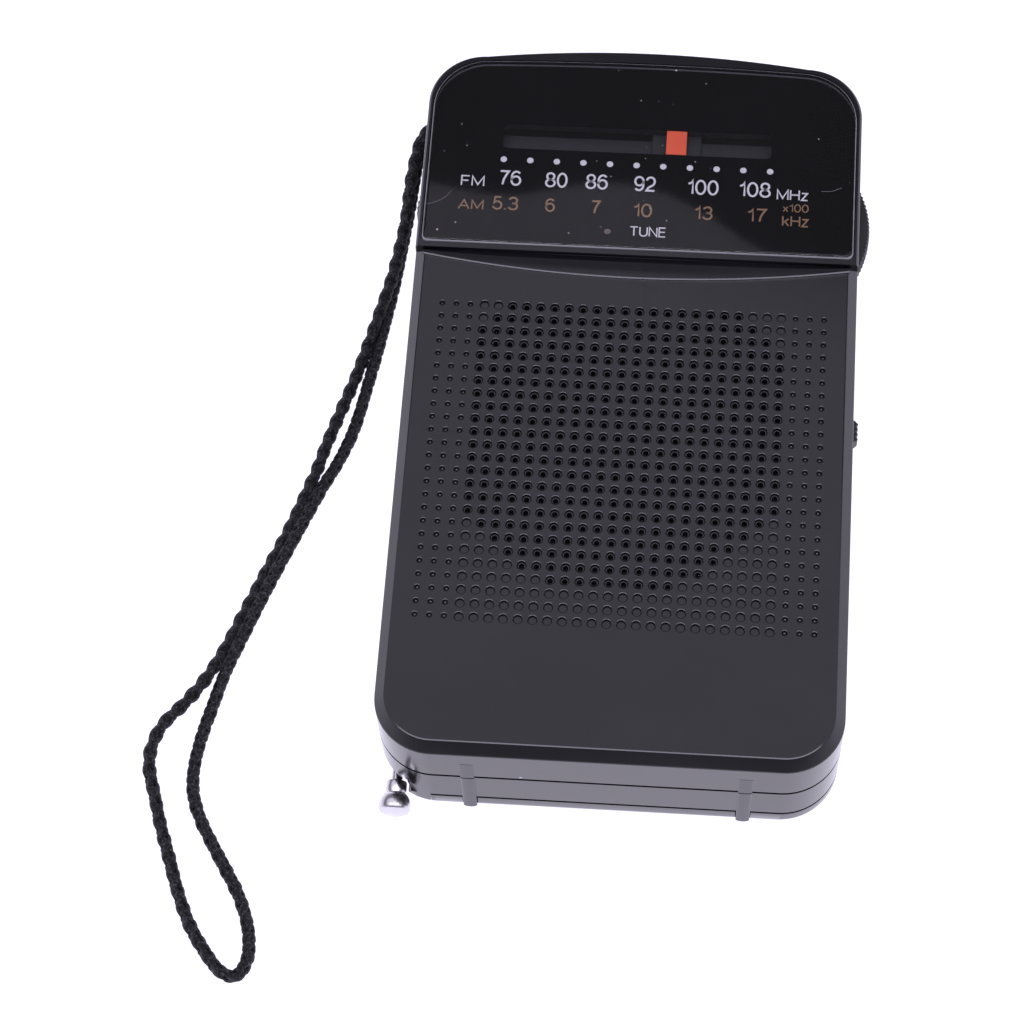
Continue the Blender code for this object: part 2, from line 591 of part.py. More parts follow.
def circuit():
    outline = rounded_rectangle((-26.0, 23.0), (32.9, 57.2), (0, 0, 7.0, 0))
    board = new_object("circuit_board", prism(outline, *BOARD_Z), "board_brown")
    for x, y in SCREWS[:2]:
        cut(board, cylinder(POST_RADIUS + 0.6, BOARD_Z[0] - 1, BOARD_Z[1] + 1, (x, y), 16))
    block = box((WHEEL_X - 10, WHEEL_Y - 10, PART_Z), (WHEEL_X + 10, WHEEL_Y + 10, 13.0))
    capacitor = new_object("tuning_capacitor", block, "white_nylon")
    cut(capacitor, cylinder(1.8, 11.0, 14.0, (WHEEL_X, WHEEL_Y), 16))
    new_object("radio_ic", box((-15.0, 26.0, PART_Z), (3.0, 32.2, 10.2)), "ic_epoxy")
    for number, x in enumerate((-17.0, -7.5), 1):
        can = box((x - 3.5, 42.5, PART_Z), (x + 3.5, 49.5, 13.0))
        new_object(f"if_can_{number}", can, "plated_steel")
    sleeve = cylinder(2.6, PART_Z, 13.0, (-14.5, 37.2), 20)
    new_object("electrolytic", sleeve, "capacitor_sleeve", smooth=True)

    rod_y, rod_z = 54.9, 11.0
    rod = laid(cylinder(2.6, -16.5, 22.5, steps=20), "X")
    new_object("ferrite_rod", moved(rod, y=rod_y, z=rod_z), "ferrite", smooth=True)
    coil = laid(turned([(2.9, -6), (3.4, -6), (3.4, 10), (2.9, 10)], 20, closed=True), "X")
    new_object("ferrite_coil", moved(coil, y=rod_y, z=rod_z), "copper_wire", smooth=True)
    for side, x in (("left", -13.0), ("right", 15.0)):
        saddle = box((x, 50.8, PART_Z), (x + 3.0, 57.2, 12.0))
        holder = new_object(f"ferrite_holder_{side}", saddle, "white_nylon")
        cut(holder, moved(laid(cylinder(2.9, x - 1, x + 4, steps=20), "X"), y=rod_y, z=rod_z))


def wires():
    """A red and a black lead from the speaker and from the battery contacts to the board."""
    speaker_route = ((-5.0, 11.5, 13.0), (-6.0, 15.0, 11.0), (-7.0, 19.0, 9.0), (-7.5, 24.0, 7.9))
    battery_route = (
        (31.2, -50.0, 8.2), (32.6, -42.0, 7.9), (32.6, -20.0, 7.9),
        (32.6, 5.0, 7.9), (32.2, 20.0, 7.9), (30.9, 25.0, 7.9),
    )
    for colour, across, up in (("red", 0.0, 0.0), ("black", 3.0, 1.4)):
        lead = [(x + across, y, z) for x, y, z in speaker_route]
        tube_along(f"speaker_wire_{colour}", smooth_route(lead, 8), 1.0, f"wire_{colour}")
        lead = [(x, y, z + up) for x, y, z in battery_route]
        tube_along(f"battery_wire_{colour}", smooth_route(lead, 16), 0.8, f"wire_{colour}")


# ---------------------------------------------------------------- speaker


def speaker():
    centre = (SPEAKER_X, SPEAKER_Y)
    basket = [
        (0, 12.6), (12.5, 12.6), (13.5, 13.2), (21.0, 17.8), (25.8, 20.0),
        (26.2, 20.9), (SPEAKER_RADIUS, 20.9), (SPEAKER_RADIUS, 21.7), (25.2, 21.7),
        (25.0, 20.6), (20.4, 18.6), (13.0, 14.0), (12.2, 13.4), (0, 13.4),
    ]
    new_object("speaker_basket", turned(basket, 40, centre), "speaker_steel", smooth=True)
    new_object("speaker_magnet", cylinder(11.0, 8.6, 12.3, centre, 32), "speaker_magnet", smooth=True)
    section = [
        (7.0, 16.5), (21.0, 20.4), (22.5, 21.1), (24.6, 20.9),
        (24.6, 21.3), (22.5, 21.6), (21.0, 20.9), (7.0, 16.9),
    ]
    cone = turned(section, 40, centre, closed=True)
    new_object("speaker_cone", cone, "speaker_paper", smooth=True)
    cap = [(0, 17.2), (7.2, 17.3), (6.0, 18.4), (4.0, 19.2), (2.0, 19.5), (0, 19.6)]
    new_object("speaker_dust_cap", turned(cap, 24, centre), "bare_aluminium", smooth=True)
    new_object("speaker_cloth", cylinder(28.2, 22.0, 22.2, centre, 32), "dust_cloth")


# ---------------------------------------------------------------- batteries


def battery_cells():
    nub_radius, full = 2.6, CELL_LENGTH + 1.0
    profile = [
        (0, 0), (CELL_RADIUS, 0), (CELL_RADIUS, CELL_LENGTH),
        (nub_radius, CELL_LENGTH), (nub_radius, full), (0, full),
    ]
    mirrored = [(r, full - z) for r, z in profile]
    for number, (y, shape) in enumerate(zip(CELL_YS, (profile, mirrored)), 1):
        cell = moved(laid(turned(shape, 28), "X"), x=CELL_X, y=y, z=CELL_Z)
        new_object(f"battery_cell_{number}", cell, "cell_jacket", smooth=True)


def battery_tray():
    low, high = (-27.2, BOTTOM + WALL + GAP), (30.0, TRAY_Y)
    outline = rounded_rectangle(low, high, (1.0, 7.0, 1.0, 1.0))
    tray = new_object("battery_tray", prism(outline, 5.2, 17.75), "inner_plastic")
    cut(tray, box((-26.2, BOTTOM - 5, 4.0), (29.0, TRAY_Y - 0.9, 16.95)))


def spring(x, y, length):
    """A contact spring's outer shape, wide at its plate."""
    profile = [(0, 0), (3.6, 0), (2.6, length), (0, length)]
    return moved(laid(turned(profile, 16), "X"), x=x, y=y, z=CELL_Z)


def battery_contacts():
    left, right, sheet, tip = -25.95, 28.7, 0.4, 1.5
    low, high = 6.4, 12.4
    bridge_plate = box((left, CELL_YS[0] - 5, low), (left + sheet, CELL_YS[1] + 5, high))
    bridge = new_object("battery_bridge_contact", bridge_plate, "plated_steel")
    join(bridge, spring(left + sheet / 2, CELL_YS[0], 1.9))
    for pole, y, radius in (("positive", CELL_YS[0], 3.0), ("negative", CELL_YS[1], 3.6)):
        plate = box((right - sheet, y - 4.5, low), (right, y + 4.5, high))
        contact = new_object(f"battery_{pole}_contact", plate, "plated_steel")
        button = [(0, 0), (radius, 0), (radius - 1.0, -tip), (0, -tip)]
        join(contact, moved(laid(turned(button, 16), "X"), x=right - sheet / 2, y=y, z=CELL_Z))


# ---------------------------------------------------------------- antenna


def along_antenna(profile, steps=16):
    """A body turned about the antenna's own line, from (radius, y) points."""
    return moved(laid(turned(profile, steps), "Y"), x=ANTENNA_X, z=ANTENNA_Z)


def antenna():
    pivot = (ANTENNA_X, ANTENNA_PIVOT_Y, ANTENNA_Z)
    half = 1.6
    eye = moved(laid(cylinder(2.6, -half, half, steps=20), "X"), *pivot)
    lug = new_object("antenna_lug", eye, "chrome", pivot)
    join(lug, box((ANTENNA_X - half, SECTION_BASE_Y + GAP, ANTENNA_Z - 2.0),
                  (ANTENNA_X + half, ANTENNA_PIVOT_Y, ANTENNA_Z + 2.0)))
    cut(lug, moved(laid(cylinder(1.3, -3, 3, steps=16), "X"), *pivot))

    plug = 1.0  # thickness of the disc that closes a section's inner end
    bases = (SECTION_BASE_Y, 44.0, 42.4, 40.8)
    for number, ((outer, inner), base) in enumerate(zip(SECTIONS, bases), 1):
        end = SECTION_END_Y - 0.5 * (number - 1)
        profile = [
            (0, base), (outer, base), (outer, end),
            (inner, end), (inner, base - plug), (0, base - plug),
        ]
        origin = pivot if number == 1 else (ANTENNA_X, end, ANTENNA_Z)
        new_object(f"antenna_section_{number}", along_antenna(profile), "chrome", origin, smooth=True)

    rod = 0.85
    tip = [
        (0, 37.6), (rod, 37.6), (rod, -58.6), (1.6, -58.9), (1.6, -60.3), (1.1, -60.7),
        (1.1, -61.2), (2.45, -61.5), (2.45, -63.8), (2.0, -64.3), (0, -64.3),
    ]
    new_object("antenna_tip", along_antenna(tip), "chrome", (ANTENNA_X, -61.5, ANTENNA_Z), smooth=True)

    profile = [(0, -35.0), (1.9, -35.0), (1.9, -34.2), (0.9, -34.2), (0.9, -25.8), (0, -25.8)]
    screw = moved(laid(turned(profile, 16), "X"), y=ANTENNA_PIVOT_Y, z=ANTENNA_Z)
    new_object("antenna_screw", screw, "plated_steel", smooth=True)
    bracket = new_object("antenna_bracket", box((-27.3, 47.5, 1.9), (-26.5, 57.2, 5.3)), "brass")
    cut(bracket, moved(laid(cylinder(1.05, -29, -25, steps=12), "X"), y=ANTENNA_PIVOT_Y, z=ANTENNA_Z))


# ---------------------------------------------------------------- strap


def strap():
    new_object("strap_pin", cylinder(0.8, 8.6, 20.6, (-31.6, 52.8), 12), "plated_steel", smooth=True)
    tube_along("wrist_strap", smooth_route(STRAP_ROUTE, STRAP_POINTS), STRAP_DIAMETER, "strap_nylon")


def main():
    clear_scene()
    front_cabinet()
    back_cabinet()
    battery_door()
    case_screws()
    dial()
    dial_pointer()
    tuning_wheel()
    dial_cord()
    cord_pulley()
    volume_control()
    band_switch()
    earphone_jack()
    circuit()
    wires()
    speaker()
    battery_cells()
    battery_tray()
    battery_contacts()
    antenna()
    strap()


main()
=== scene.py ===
"""Looks of the transistor pocket radio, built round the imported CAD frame.

Shapes are written in millimetres in the part's own frame and scaled to metres in new_piece().
"""

import json
import math

import bmesh
import bpy
from mathutils import Matrix, Vector


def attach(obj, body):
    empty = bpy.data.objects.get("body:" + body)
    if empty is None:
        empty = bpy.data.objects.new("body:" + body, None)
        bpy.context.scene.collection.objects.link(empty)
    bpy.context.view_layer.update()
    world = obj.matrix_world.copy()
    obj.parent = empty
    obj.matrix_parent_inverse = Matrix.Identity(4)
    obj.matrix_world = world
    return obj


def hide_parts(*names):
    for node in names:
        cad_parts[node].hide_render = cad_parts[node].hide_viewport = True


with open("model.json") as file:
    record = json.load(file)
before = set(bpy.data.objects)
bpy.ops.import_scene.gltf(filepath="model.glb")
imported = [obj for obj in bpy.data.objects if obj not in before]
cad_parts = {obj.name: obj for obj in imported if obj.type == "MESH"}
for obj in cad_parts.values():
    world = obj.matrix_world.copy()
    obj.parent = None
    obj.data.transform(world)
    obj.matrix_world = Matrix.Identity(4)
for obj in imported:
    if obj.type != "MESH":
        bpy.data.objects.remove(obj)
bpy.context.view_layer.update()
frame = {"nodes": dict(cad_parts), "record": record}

MM = 0.001

# Case, as in the CAD; the top end bows out by TOP_BOW from the shoulders to the middle
HALF, BOTTOM, SHOULDER, TOP_BOW = 35.0, -61.3, 59.5, 1.8
CORNER, CORNER_STEPS, WALL, GAP = 9.0, 18, 1.6, 0.3
FACE_Z, DIAL_RIM_Z, PARTING_Z = 24.1, 24.4, 13.4
LENS_BOTTOM, LENS_TOP, LENS_BOW, LENS_HALF = 24.2, SHOULDER - 1.0, 0.55, HALF - 0.7
DIAL_FLOOR = (20.9, 22.3)
PRINT_Z = 22.87
RAMP_TOP, RAMP_SIDE, RAMP_MIDDLE = 23.3, 22.2, 19.1
SLOT_X, SLOT_Y, SLOT_HEIGHT = (-22.6, 20.7), 45.3, 4.8
LED_X, LED_Y = -4.8, 28.3
SPEAKER_X, SPEAKER_Y = -1.1, -6.6
WHEEL_X, WHEEL_Y, WHEEL_RADIUS = 19.5, 34.2, 17.6
WHEEL_Z = (13.7, 16.6)
CORD_RADIUS = 12.45
POINTER_X, POINTER_SIZE = 5.4, (3.3, 4.4)
PULLEY_X, PULLEY_Y = -27.0, WHEEL_Y + CORD_RADIUS - 3.0
VOLUME_X, VOLUME_Y, VOLUME_RADIUS = -27.2, 35.2, 9.0
SWITCH_Y, SWITCH_KNOB, SWITCH_TRAVEL = -1.7, 4.0, 3.0
DOOR_X, DOOR_Y, DOOR_Z = -26.9, -27.5, 4.9
CELL_Z, CELL_YS, CELL_X, CELL_RADIUS, CELL_LENGTH = 9.4, (-51.9, -37.1), -23.6, 7.25, 49.3
FOOT_XS, FOOT_HALF, FOOT_Z, FOOT_OUT = (-20.8, 20.8), 1.05, (1.9, 18.6), 0.62
ANTENNA_X, ANTENNA_Z, ANTENNA_PIVOT_Y = -32.3, 3.1, 52.5
SECTIONS = (  # outer and inner radius, base and end along Y
    (2.5, 2.2, 47.0, -54.0), (2.05, 1.8, 44.0, -54.5), (1.65, 1.4, 42.4, -55.0), (1.25, 1.0, 40.8, -55.5),
)
RABBET_X, RABBET_Z = -29.2, 6.7
NARROW_X, NARROW_Y = -30.5, -55.8
SCOOP, SCOOP_RADIUS = (-32.0, -63.1, 5.3), 4.0
SCREWS = ((-22.0, 54.0), (28.0, 54.0), (-24.8, 18.5), (29.6, -24.0))
STRAP_EXIT_Y = 52.6

# Grille
PITCH, COLUMNS, ROWS = 2.215, 28, 25
GRILLE_Y = -13.2

STRAP_ROUTE = (
    (-33.3, 52.6, 12.1), (-35.2, 52.6, 12.1), (-36.9, 51.0, 11.4), (-37.7, 48.0, 10.6),
    (-38.3, 44.0, 9.3), (-38.8, 38.0, 7.0), (-39.6, 33.0, 5.2), (-40.6, 28.0, 3.9),
    (-41.8, 23.7, 2.9), (-43.4, 17.7, 1.7), (-45.3, 10.8, 1.05), (-47.5, 3.3, 1.05),
    (-49.0, -2.0, 1.05), (-50.3, -7.2, 1.05), (-53.7, -17.6, 1.05), (-56.35, -24.4, 1.05),
    (-58.8, -30.9, 1.05), (-61.0, -36.8, 1.05), (-63.6, -42.4, 1.05), (-66.5, -46.9, 1.05),
    (-69.7, -50.9, 1.05), (-71.1, -54.8, 1.05), (-71.0, -58.5, 1.05), (-69.7, -62.7, 1.05),
    (-68.3, -67.2, 1.05), (-66.3, -72.6, 1.05), (-64.3, -78.0, 1.05), (-61.9, -83.1, 1.05),
    (-59.0, -87.3, 1.05), (-56.6, -89.9, 1.05), (-54.3, -90.6, 1.05), (-52.8, -88.6, 1.05),
    (-52.6, -85.6, 1.05), (-53.4, -81.8, 1.05), (-55.1, -77.8, 1.05), (-57.4, -74.0, 1.05),
    (-60.0, -69.9, 1.05), (-62.2, -66.1, 1.05), (-63.7, -62.2, 1.05), (-64.1, -57.9, 1.05),
    (-63.5, -52.8, 1.05), (-62.4, -47.8, 1.05), (-60.9, -42.0, 1.5), (-58.85, -36.4, 2.2),
    (-56.55, -30.0, 2.25), (-54.2, -23.6, 2.25), (-51.9, -17.8, 2.2), (-48.9, -9.7, 1.6),
    (-46.9, -5.0, 1.1), (-45.2, -0.4, 1.05), (-44.1, 4.0, 1.05), (-42.9, 10.9, 1.05),
    (-41.7, 18.3, 1.05), (-40.8, 24.5, 1.05), (-40.2, 29.0, 1.4), (-39.4, 34.5, 2.8),
    (-38.7, 39.5, 4.6), (-38.0, 45.0, 6.9), (-37.5, 49.0, 8.4), (-36.9, 51.5, 9.2),
    (-35.2, 53.0, 9.8), (-33.3, 53.0, 9.8),
)
TINT = (1.02, 0.98, 1.17)  # the studio's light, slightly violet


# ---------------------------------------------------------------- camera, light, floor


def camera():
    """Looks down at the front from the bottom end of the radio, a little to its right."""
    data = bpy.data.cameras.new("camera")
    data.lens, data.sensor_width = 108.98, 36.0
    data.clip_start, data.clip_end = 0.05, 20.0
    made = bpy.data.objects.new("camera", data)
    right = Vector((0.99708149, 0.06940326, -0.03180707))
    up = Vector((-0.0496721, 0.90613026, 0.42007217))
    turn = Matrix((right, up, right.cross(up))).transposed().to_4x4()
    made.matrix_world = Matrix.Translation((0.01087, -0.21889, 0.45162)) @ turn
    bpy.context.scene.collection.objects.link(made)
    bpy.context.scene.camera = made


def stage_sheet(name, points):
    """A flat sheet of the studio with a plain material; gives the object and the material."""
    mesh = bpy.data.meshes.new(name)
    mesh.from_pydata(points, [], [range(len(points))])
    made = bpy.data.objects.new(name, mesh)
    bpy.context.scene.collection.objects.link(made)
    mat = bpy.data.materials.new(name)
    mat.use_nodes = True
    mesh.materials.append(mat)
    return made, mat


def emitter(name, points, radiance):
    """A flat softbox that lights and reflects but is not seen itself."""
    made, mat = stage_sheet(name, points)
    nodes = mat.node_tree.nodes
    nodes.clear()
    glow = nodes.new("ShaderNodeEmission")
    glow.inputs["Color"].default_value = (*TINT, 1)
    glow.inputs["Strength"].default_value = radiance
    mat.node_tree.links.new(glow.outputs[0], nodes.new("ShaderNodeOutputMaterial").inputs[0])
    made.visible_camera = False


def studio():
    scene = bpy.context.scene
    scene.view_settings.view_transform = "Standard"
    world = bpy.data.worlds.new("studio")
    scene.world = world
    world.use_nodes = True
    nodes, links = world.node_tree.nodes, world.node_tree.links
    background = nodes["Background"]
    where = nodes.new("ShaderNodeTexCoord")
    split = nodes.new("ShaderNodeSeparateXYZ")
    ramp = nodes.new("ShaderNodeValToRGB")
    links.new(where.outputs["Generated"], split.inputs[0])
    links.new(split.outputs["Z"], ramp.inputs[0])
    links.new(ramp.outputs[0], background.inputs["Color"])
    stops = ((0.0, 1.0), (0.05, 0.95), (0.18, 0.3), (0.32, 0.19), (0.6, 0.27), (1.0, 0.25))
    while len(ramp.color_ramp.elements) < len(stops):
        ramp.color_ramp.elements.new(0.5)
    for element, (at, value) in zip(ramp.color_ramp.elements, stops):
        element.position = at
        element.color = (value * TINT[0], value * TINT[1], value * TINT[2], 1)

    # The dial lens mirrors the far edge of the overhead sheet as a lighter area below a curved line.
    # The edge is given where that line lies on the lens, and carried up to the sheet as a mirror would.
    height, reach, side, back = 0.88, 2.0, 1.2, -1.1
    edge = ((-40, 35.5), (-34, 35.2), (-29, 34.2), (-24, 33.4), (-19, 33.5), (-13, 35.0), (-7, 36.4),
            (-2, 36.3), (4, 35.0), (9, 32.5), (13, 29.8), (17, 26.8), (22, 24.0), (40, 20.0))
    eye_x, eye_y = 10.87, -218.9
    points = [((x + reach * (x - eye_x)) * MM, (y + reach * (y - eye_y)) * MM, height) for x, y in edge]
    outer = [(side, points[-1][1]), (side, back), (-side, back), (-side, points[0][1])]
    emitter("overhead_sheet", points + [(x, y, height) for x, y in outer], 0.93)
    # A brighter strip above the camera: it lights the print and glints on edges turned to the bottom end.
    strip = [(x, y, 0.87) for x, y in ((-0.5, -0.36), (0.5, -0.36), (0.5, -0.06), (-0.5, -0.06))]
    emitter("key_strip", strip, 5.0)

    side = 3.0
    paper = stage_sheet("floor", [(-side, -side, 0), (side, -side, 0), (side, side, 0), (-side, side, 0)])[1]
    settings = {"Base Color": (0.3, 0.3, 0.3, 1), "Roughness": 0.9, "Specular IOR Level": 0.1,
                "Emission Color": (*TINT, 1), "Emission Strength": 0.98}
    for socket, value in settings.items():
        paper.node_tree.nodes["Principled BSDF"].inputs[socket].default_value = value


# ---------------------------------------------------------------- materials


class Shade:
    """A Principled material whose colour, roughness and bump come from procedural detail."""

    def __init__(self, name, colour, roughness, metallic=0.0, **sockets):
        self.mat = bpy.data.materials.new(name)
        self.mat.use_nodes = True
        self.nodes, self.links = self.mat.node_tree.nodes, self.mat.node_tree.links
        self.shader = self.nodes["Principled BSDF"]
        self.set("Base Color", (*colour, 1.0))
        self.set("Roughness", roughness)
        self.set("Metallic", metallic)
        for socket, value in sockets.items():
            self.set(socket.replace("_", " "), value)
        self.normal = None
        self.place = self.nodes.new("ShaderNodeTexCoord").outputs["Object"]

    def set(self, socket, value):
        self.shader.inputs[socket].default_value = value

    def node(self, kind, *feeds, **values):
        """A node fed by sockets or numbers in order; values are inputs by name, or settings of the node."""
        made = self.nodes.new("ShaderNode" + kind)
        for key, value in values.items():
            socket = key.replace("_", " ")
            if socket in made.inputs:
                made.inputs[socket].default_value = value
            else:
                setattr(made, key, value)
        for index, feed in enumerate(feeds):
            if isinstance(feed, (int, float)):
                made.inputs[index].default_value = feed
            else:
                self.links.new(feed, made.inputs[index])
        return made

    def noise(self, scale, detail=3.0, rough=0.5, stretch=(1, 1, 1), turn=(0, 0, 0)):
        mapping = self.node("Mapping", self.place, Rotation=turn, Scale=stretch)
        made = self.node("TexNoise", mapping.outputs[0], Scale=scale, Detail=detail, Roughness=rough)
        return made.outputs["Fac"]

    def remap(self, value, low, high, to_low=0.0, to_high=1.0):
        made = self.node("MapRange", value, From_Min=low, From_Max=high, To_Min=to_low, To_Max=to_high)
        return made.outputs[0]

    def maths(self, operation, *feeds):
        return self.node("Math", *feeds, operation=operation).outputs[0]

    def tint(self, share, other):
        """Mix another colour over the present one, by share."""
        made = self.nodes.new("ShaderNodeMix")
        made.data_type = "RGBA"
        self.links.new(share, made.inputs["Factor"])
        present = self.shader.inputs["Base Color"]
        if present.is_linked:
            self.links.new(present.links[0].from_socket, made.inputs["A"])
        else:
            made.inputs["A"].default_value = present.default_value
        made.inputs["B"].default_value = (*other, 1.0)
        self.links.new(made.outputs["Result"], present)
        return self

    def rough(self, value):
        self.links.new(value, self.shader.inputs["Roughness"])
        return self

    def bump(self, height, distance, strength=1.0):
        made = self.node("Bump", Strength=strength, Distance=distance)
        self.links.new(height, made.inputs["Height"])
        if self.normal is not None:
            self.links.new(self.normal, made.inputs["Normal"])
        self.normal = made.outputs[0]
        self.links.new(self.normal, self.shader.inputs["Normal"])
        return self

    def specks(self, size, share, seed=0.0):
        """Sparse round specks: 1 on a speck, 0 elsewhere. size is the spacing in metres."""
        mapping = self.node("Mapping", self.place, Location=(seed, seed * 0.7, seed * 1.3))
        cells = self.node("TexVoronoi", mapping.outputs[0], Scale=1.0 / size)
        picked = self.node("SeparateColor", cells.outputs["Color"])
        rare = self.maths("LESS_THAN", picked.outputs[0], share)
        radius = self.remap(picked.outputs[1], 0.0, 1.0, 0.02, 0.09)
        return self.maths("MULTIPLY", rare, self.maths("LESS_THAN", cells.outputs["Distance"], radius))

    def scratches(self, scale, turn, width=0.012):
        """Thin broken lines that run one way."""
        wave = self.noise(scale, 1.5, 0.4, (1, 14, 1), turn)
        line = self.maths("ABSOLUTE", self.maths("SUBTRACT", wave, 0.5))
        thin = self.maths("LESS_THAN", line, width)
        patches = self.maths("GREATER_THAN", self.noise(scale * 0.35, 2.0, 0.5, turn=turn), 0.62)
        return self.maths("MULTIPLY", thin, patches)


def gloss_black():
    """Polished black moulding with smudges, fine dust and faint scratches."""
    s = Shade("case_gloss", (0.006, 0.006, 0.0075), 0.07, IOR=1.5)
    smudge = s.noise(38.0, 4.0, 0.6, (1, 1.6, 1), (0, 0, 0.6))
    fine = s.noise(900.0, 2.0)
    s.tint(s.remap(smudge, 0.45, 0.75, 0.0, 0.35), (0.014, 0.014, 0.016))
    s.rough(s.maths("ADD", s.remap(smudge, 0.35, 0.75, 0.07, 0.16), s.remap(fine, 0.0, 1.0, 0.0, 0.03)))
    s.tint(s.specks(0.0032, 0.02), (0.35, 0.35, 0.36))
    s.bump(s.noise(260.0, 2.0), 0.000012, 0.6)
    s.bump(s.scratches(220.0, (0, 0, 0.5)), 0.000003, 0.5)
    return s.mat


def dial_paint():
    """Black print on the back of the lens, so it has no gloss of its own."""
    s = Shade("dial_paint", (0.0012, 0.0011, 0.0014), 0.6, Specular_IOR_Level=0.0)
    s.tint(s.remap(s.noise(45.0, 4.0, 0.6), 0.4, 0.75), (0.0026, 0.0024, 0.003))
    s.rough(s.remap(s.noise(80.0), 0.3, 0.7, 0.5, 0.7)).bump(s.noise(900.0), 0.000004, 0.3)
    return s.mat


def satin_black():
    s = Shade("wheel_satin", (0.012, 0.012, 0.013), 0.42)
    grain = s.noise(2600.0, 2.0, 0.6)
    wear = s.noise(160.0, 4.0, 0.65)
    s.tint(s.remap(wear, 0.5, 0.8, 0.0, 0.5), (0.03, 0.03, 0.032))
    s.rough(s.remap(wear, 0.3, 0.7, 0.36, 0.5)).bump(grain, 0.00003, 0.5)
    return s.mat


def moulded(name, colour, roughness=0.5, worn=None):
    s = Shade(name, colour, roughness)
    cloud = s.noise(70.0, 4.0, 0.6)
    s.tint(s.remap(cloud, 0.4, 0.8, 0.0, 0.5), worn or tuple(c * 1.5 for c in colour))
    s.rough(s.remap(cloud, 0.3, 0.7, roughness - 0.08, roughness + 0.08))
    s.bump(s.noise(1500.0, 2.0), 0.00002, 0.4)
    return s.mat


def metal(name, colour, roughness, grain=(1, 1, 1), scale=400.0, depth=0.000006, tarnish=None):
    s = Shade(name, colour, roughness, 1.0)
    lines = s.noise(scale, 3.0, 0.6, grain)
    stain = s.noise(90.0, 4.0, 0.6)
    s.tint(s.remap(stain, 0.5, 0.85, 0.0, 0.5), tarnish or tuple(c * 0.6 for c in colour))
    wide = s.remap(lines, 0.2, 0.8, roughness * 0.7, roughness * 1.4)
    s.rough(s.maths("ADD", wide, s.remap(stain, 0.45, 0.8, 0.0, 0.08)))
    s.bump(lines, depth, 0.5)
    return s.mat


def lens_plastic():
    """Clear acrylic: mostly see-through, with gloss and settled dust."""
    s = Shade("clear_lens", (0.02, 0.02, 0.022), 0.03, IOR=1.49)
    settled = s.maths("GREATER_THAN", s.noise(55.0, 2.0), 0.5)
    fine = s.maths("MULTIPLY", settled, s.specks(0.0013, 0.3, 1.7))
    dust = s.maths("MAXIMUM", s.specks(0.0026, 0.08, 0.31), fine)
    s.tint(dust, (0.6, 0.6, 0.63))
    s.bump(s.noise(120.0, 1.0), 0.000001, 0.3)
    s.rough(s.remap(s.noise(60.0, 1.0), 0.4, 0.8, 0.02, 0.045))
    solid = s.maths("MULTIPLY", dust, 0.7)
    # Only the outer surface reflects: the print lies against the inner one.
    fresnel = s.node("Fresnel", IOR=1.49)
    height = s.node("SeparateXYZ", s.place)
    film_share = s.maths("MULTIPLY", fresnel.outputs[0], s.maths("GREATER_THAN", height.outputs["Z"], 0.0236))
    clear = s.node("BsdfTransparent", Color=(0.97, 0.97, 0.98, 1))
    gloss = s.node("BsdfGlossy", Roughness=0.03)
    film = s.node("MixShader", film_share, clear.outputs[0], gloss.outputs[0])
    both = s.node("MixShader", solid, film.outputs[0], s.shader.outputs[0])
    s.links.new(both.outputs[0], s.nodes["Material Output"].inputs["Surface"])
    return s.mat


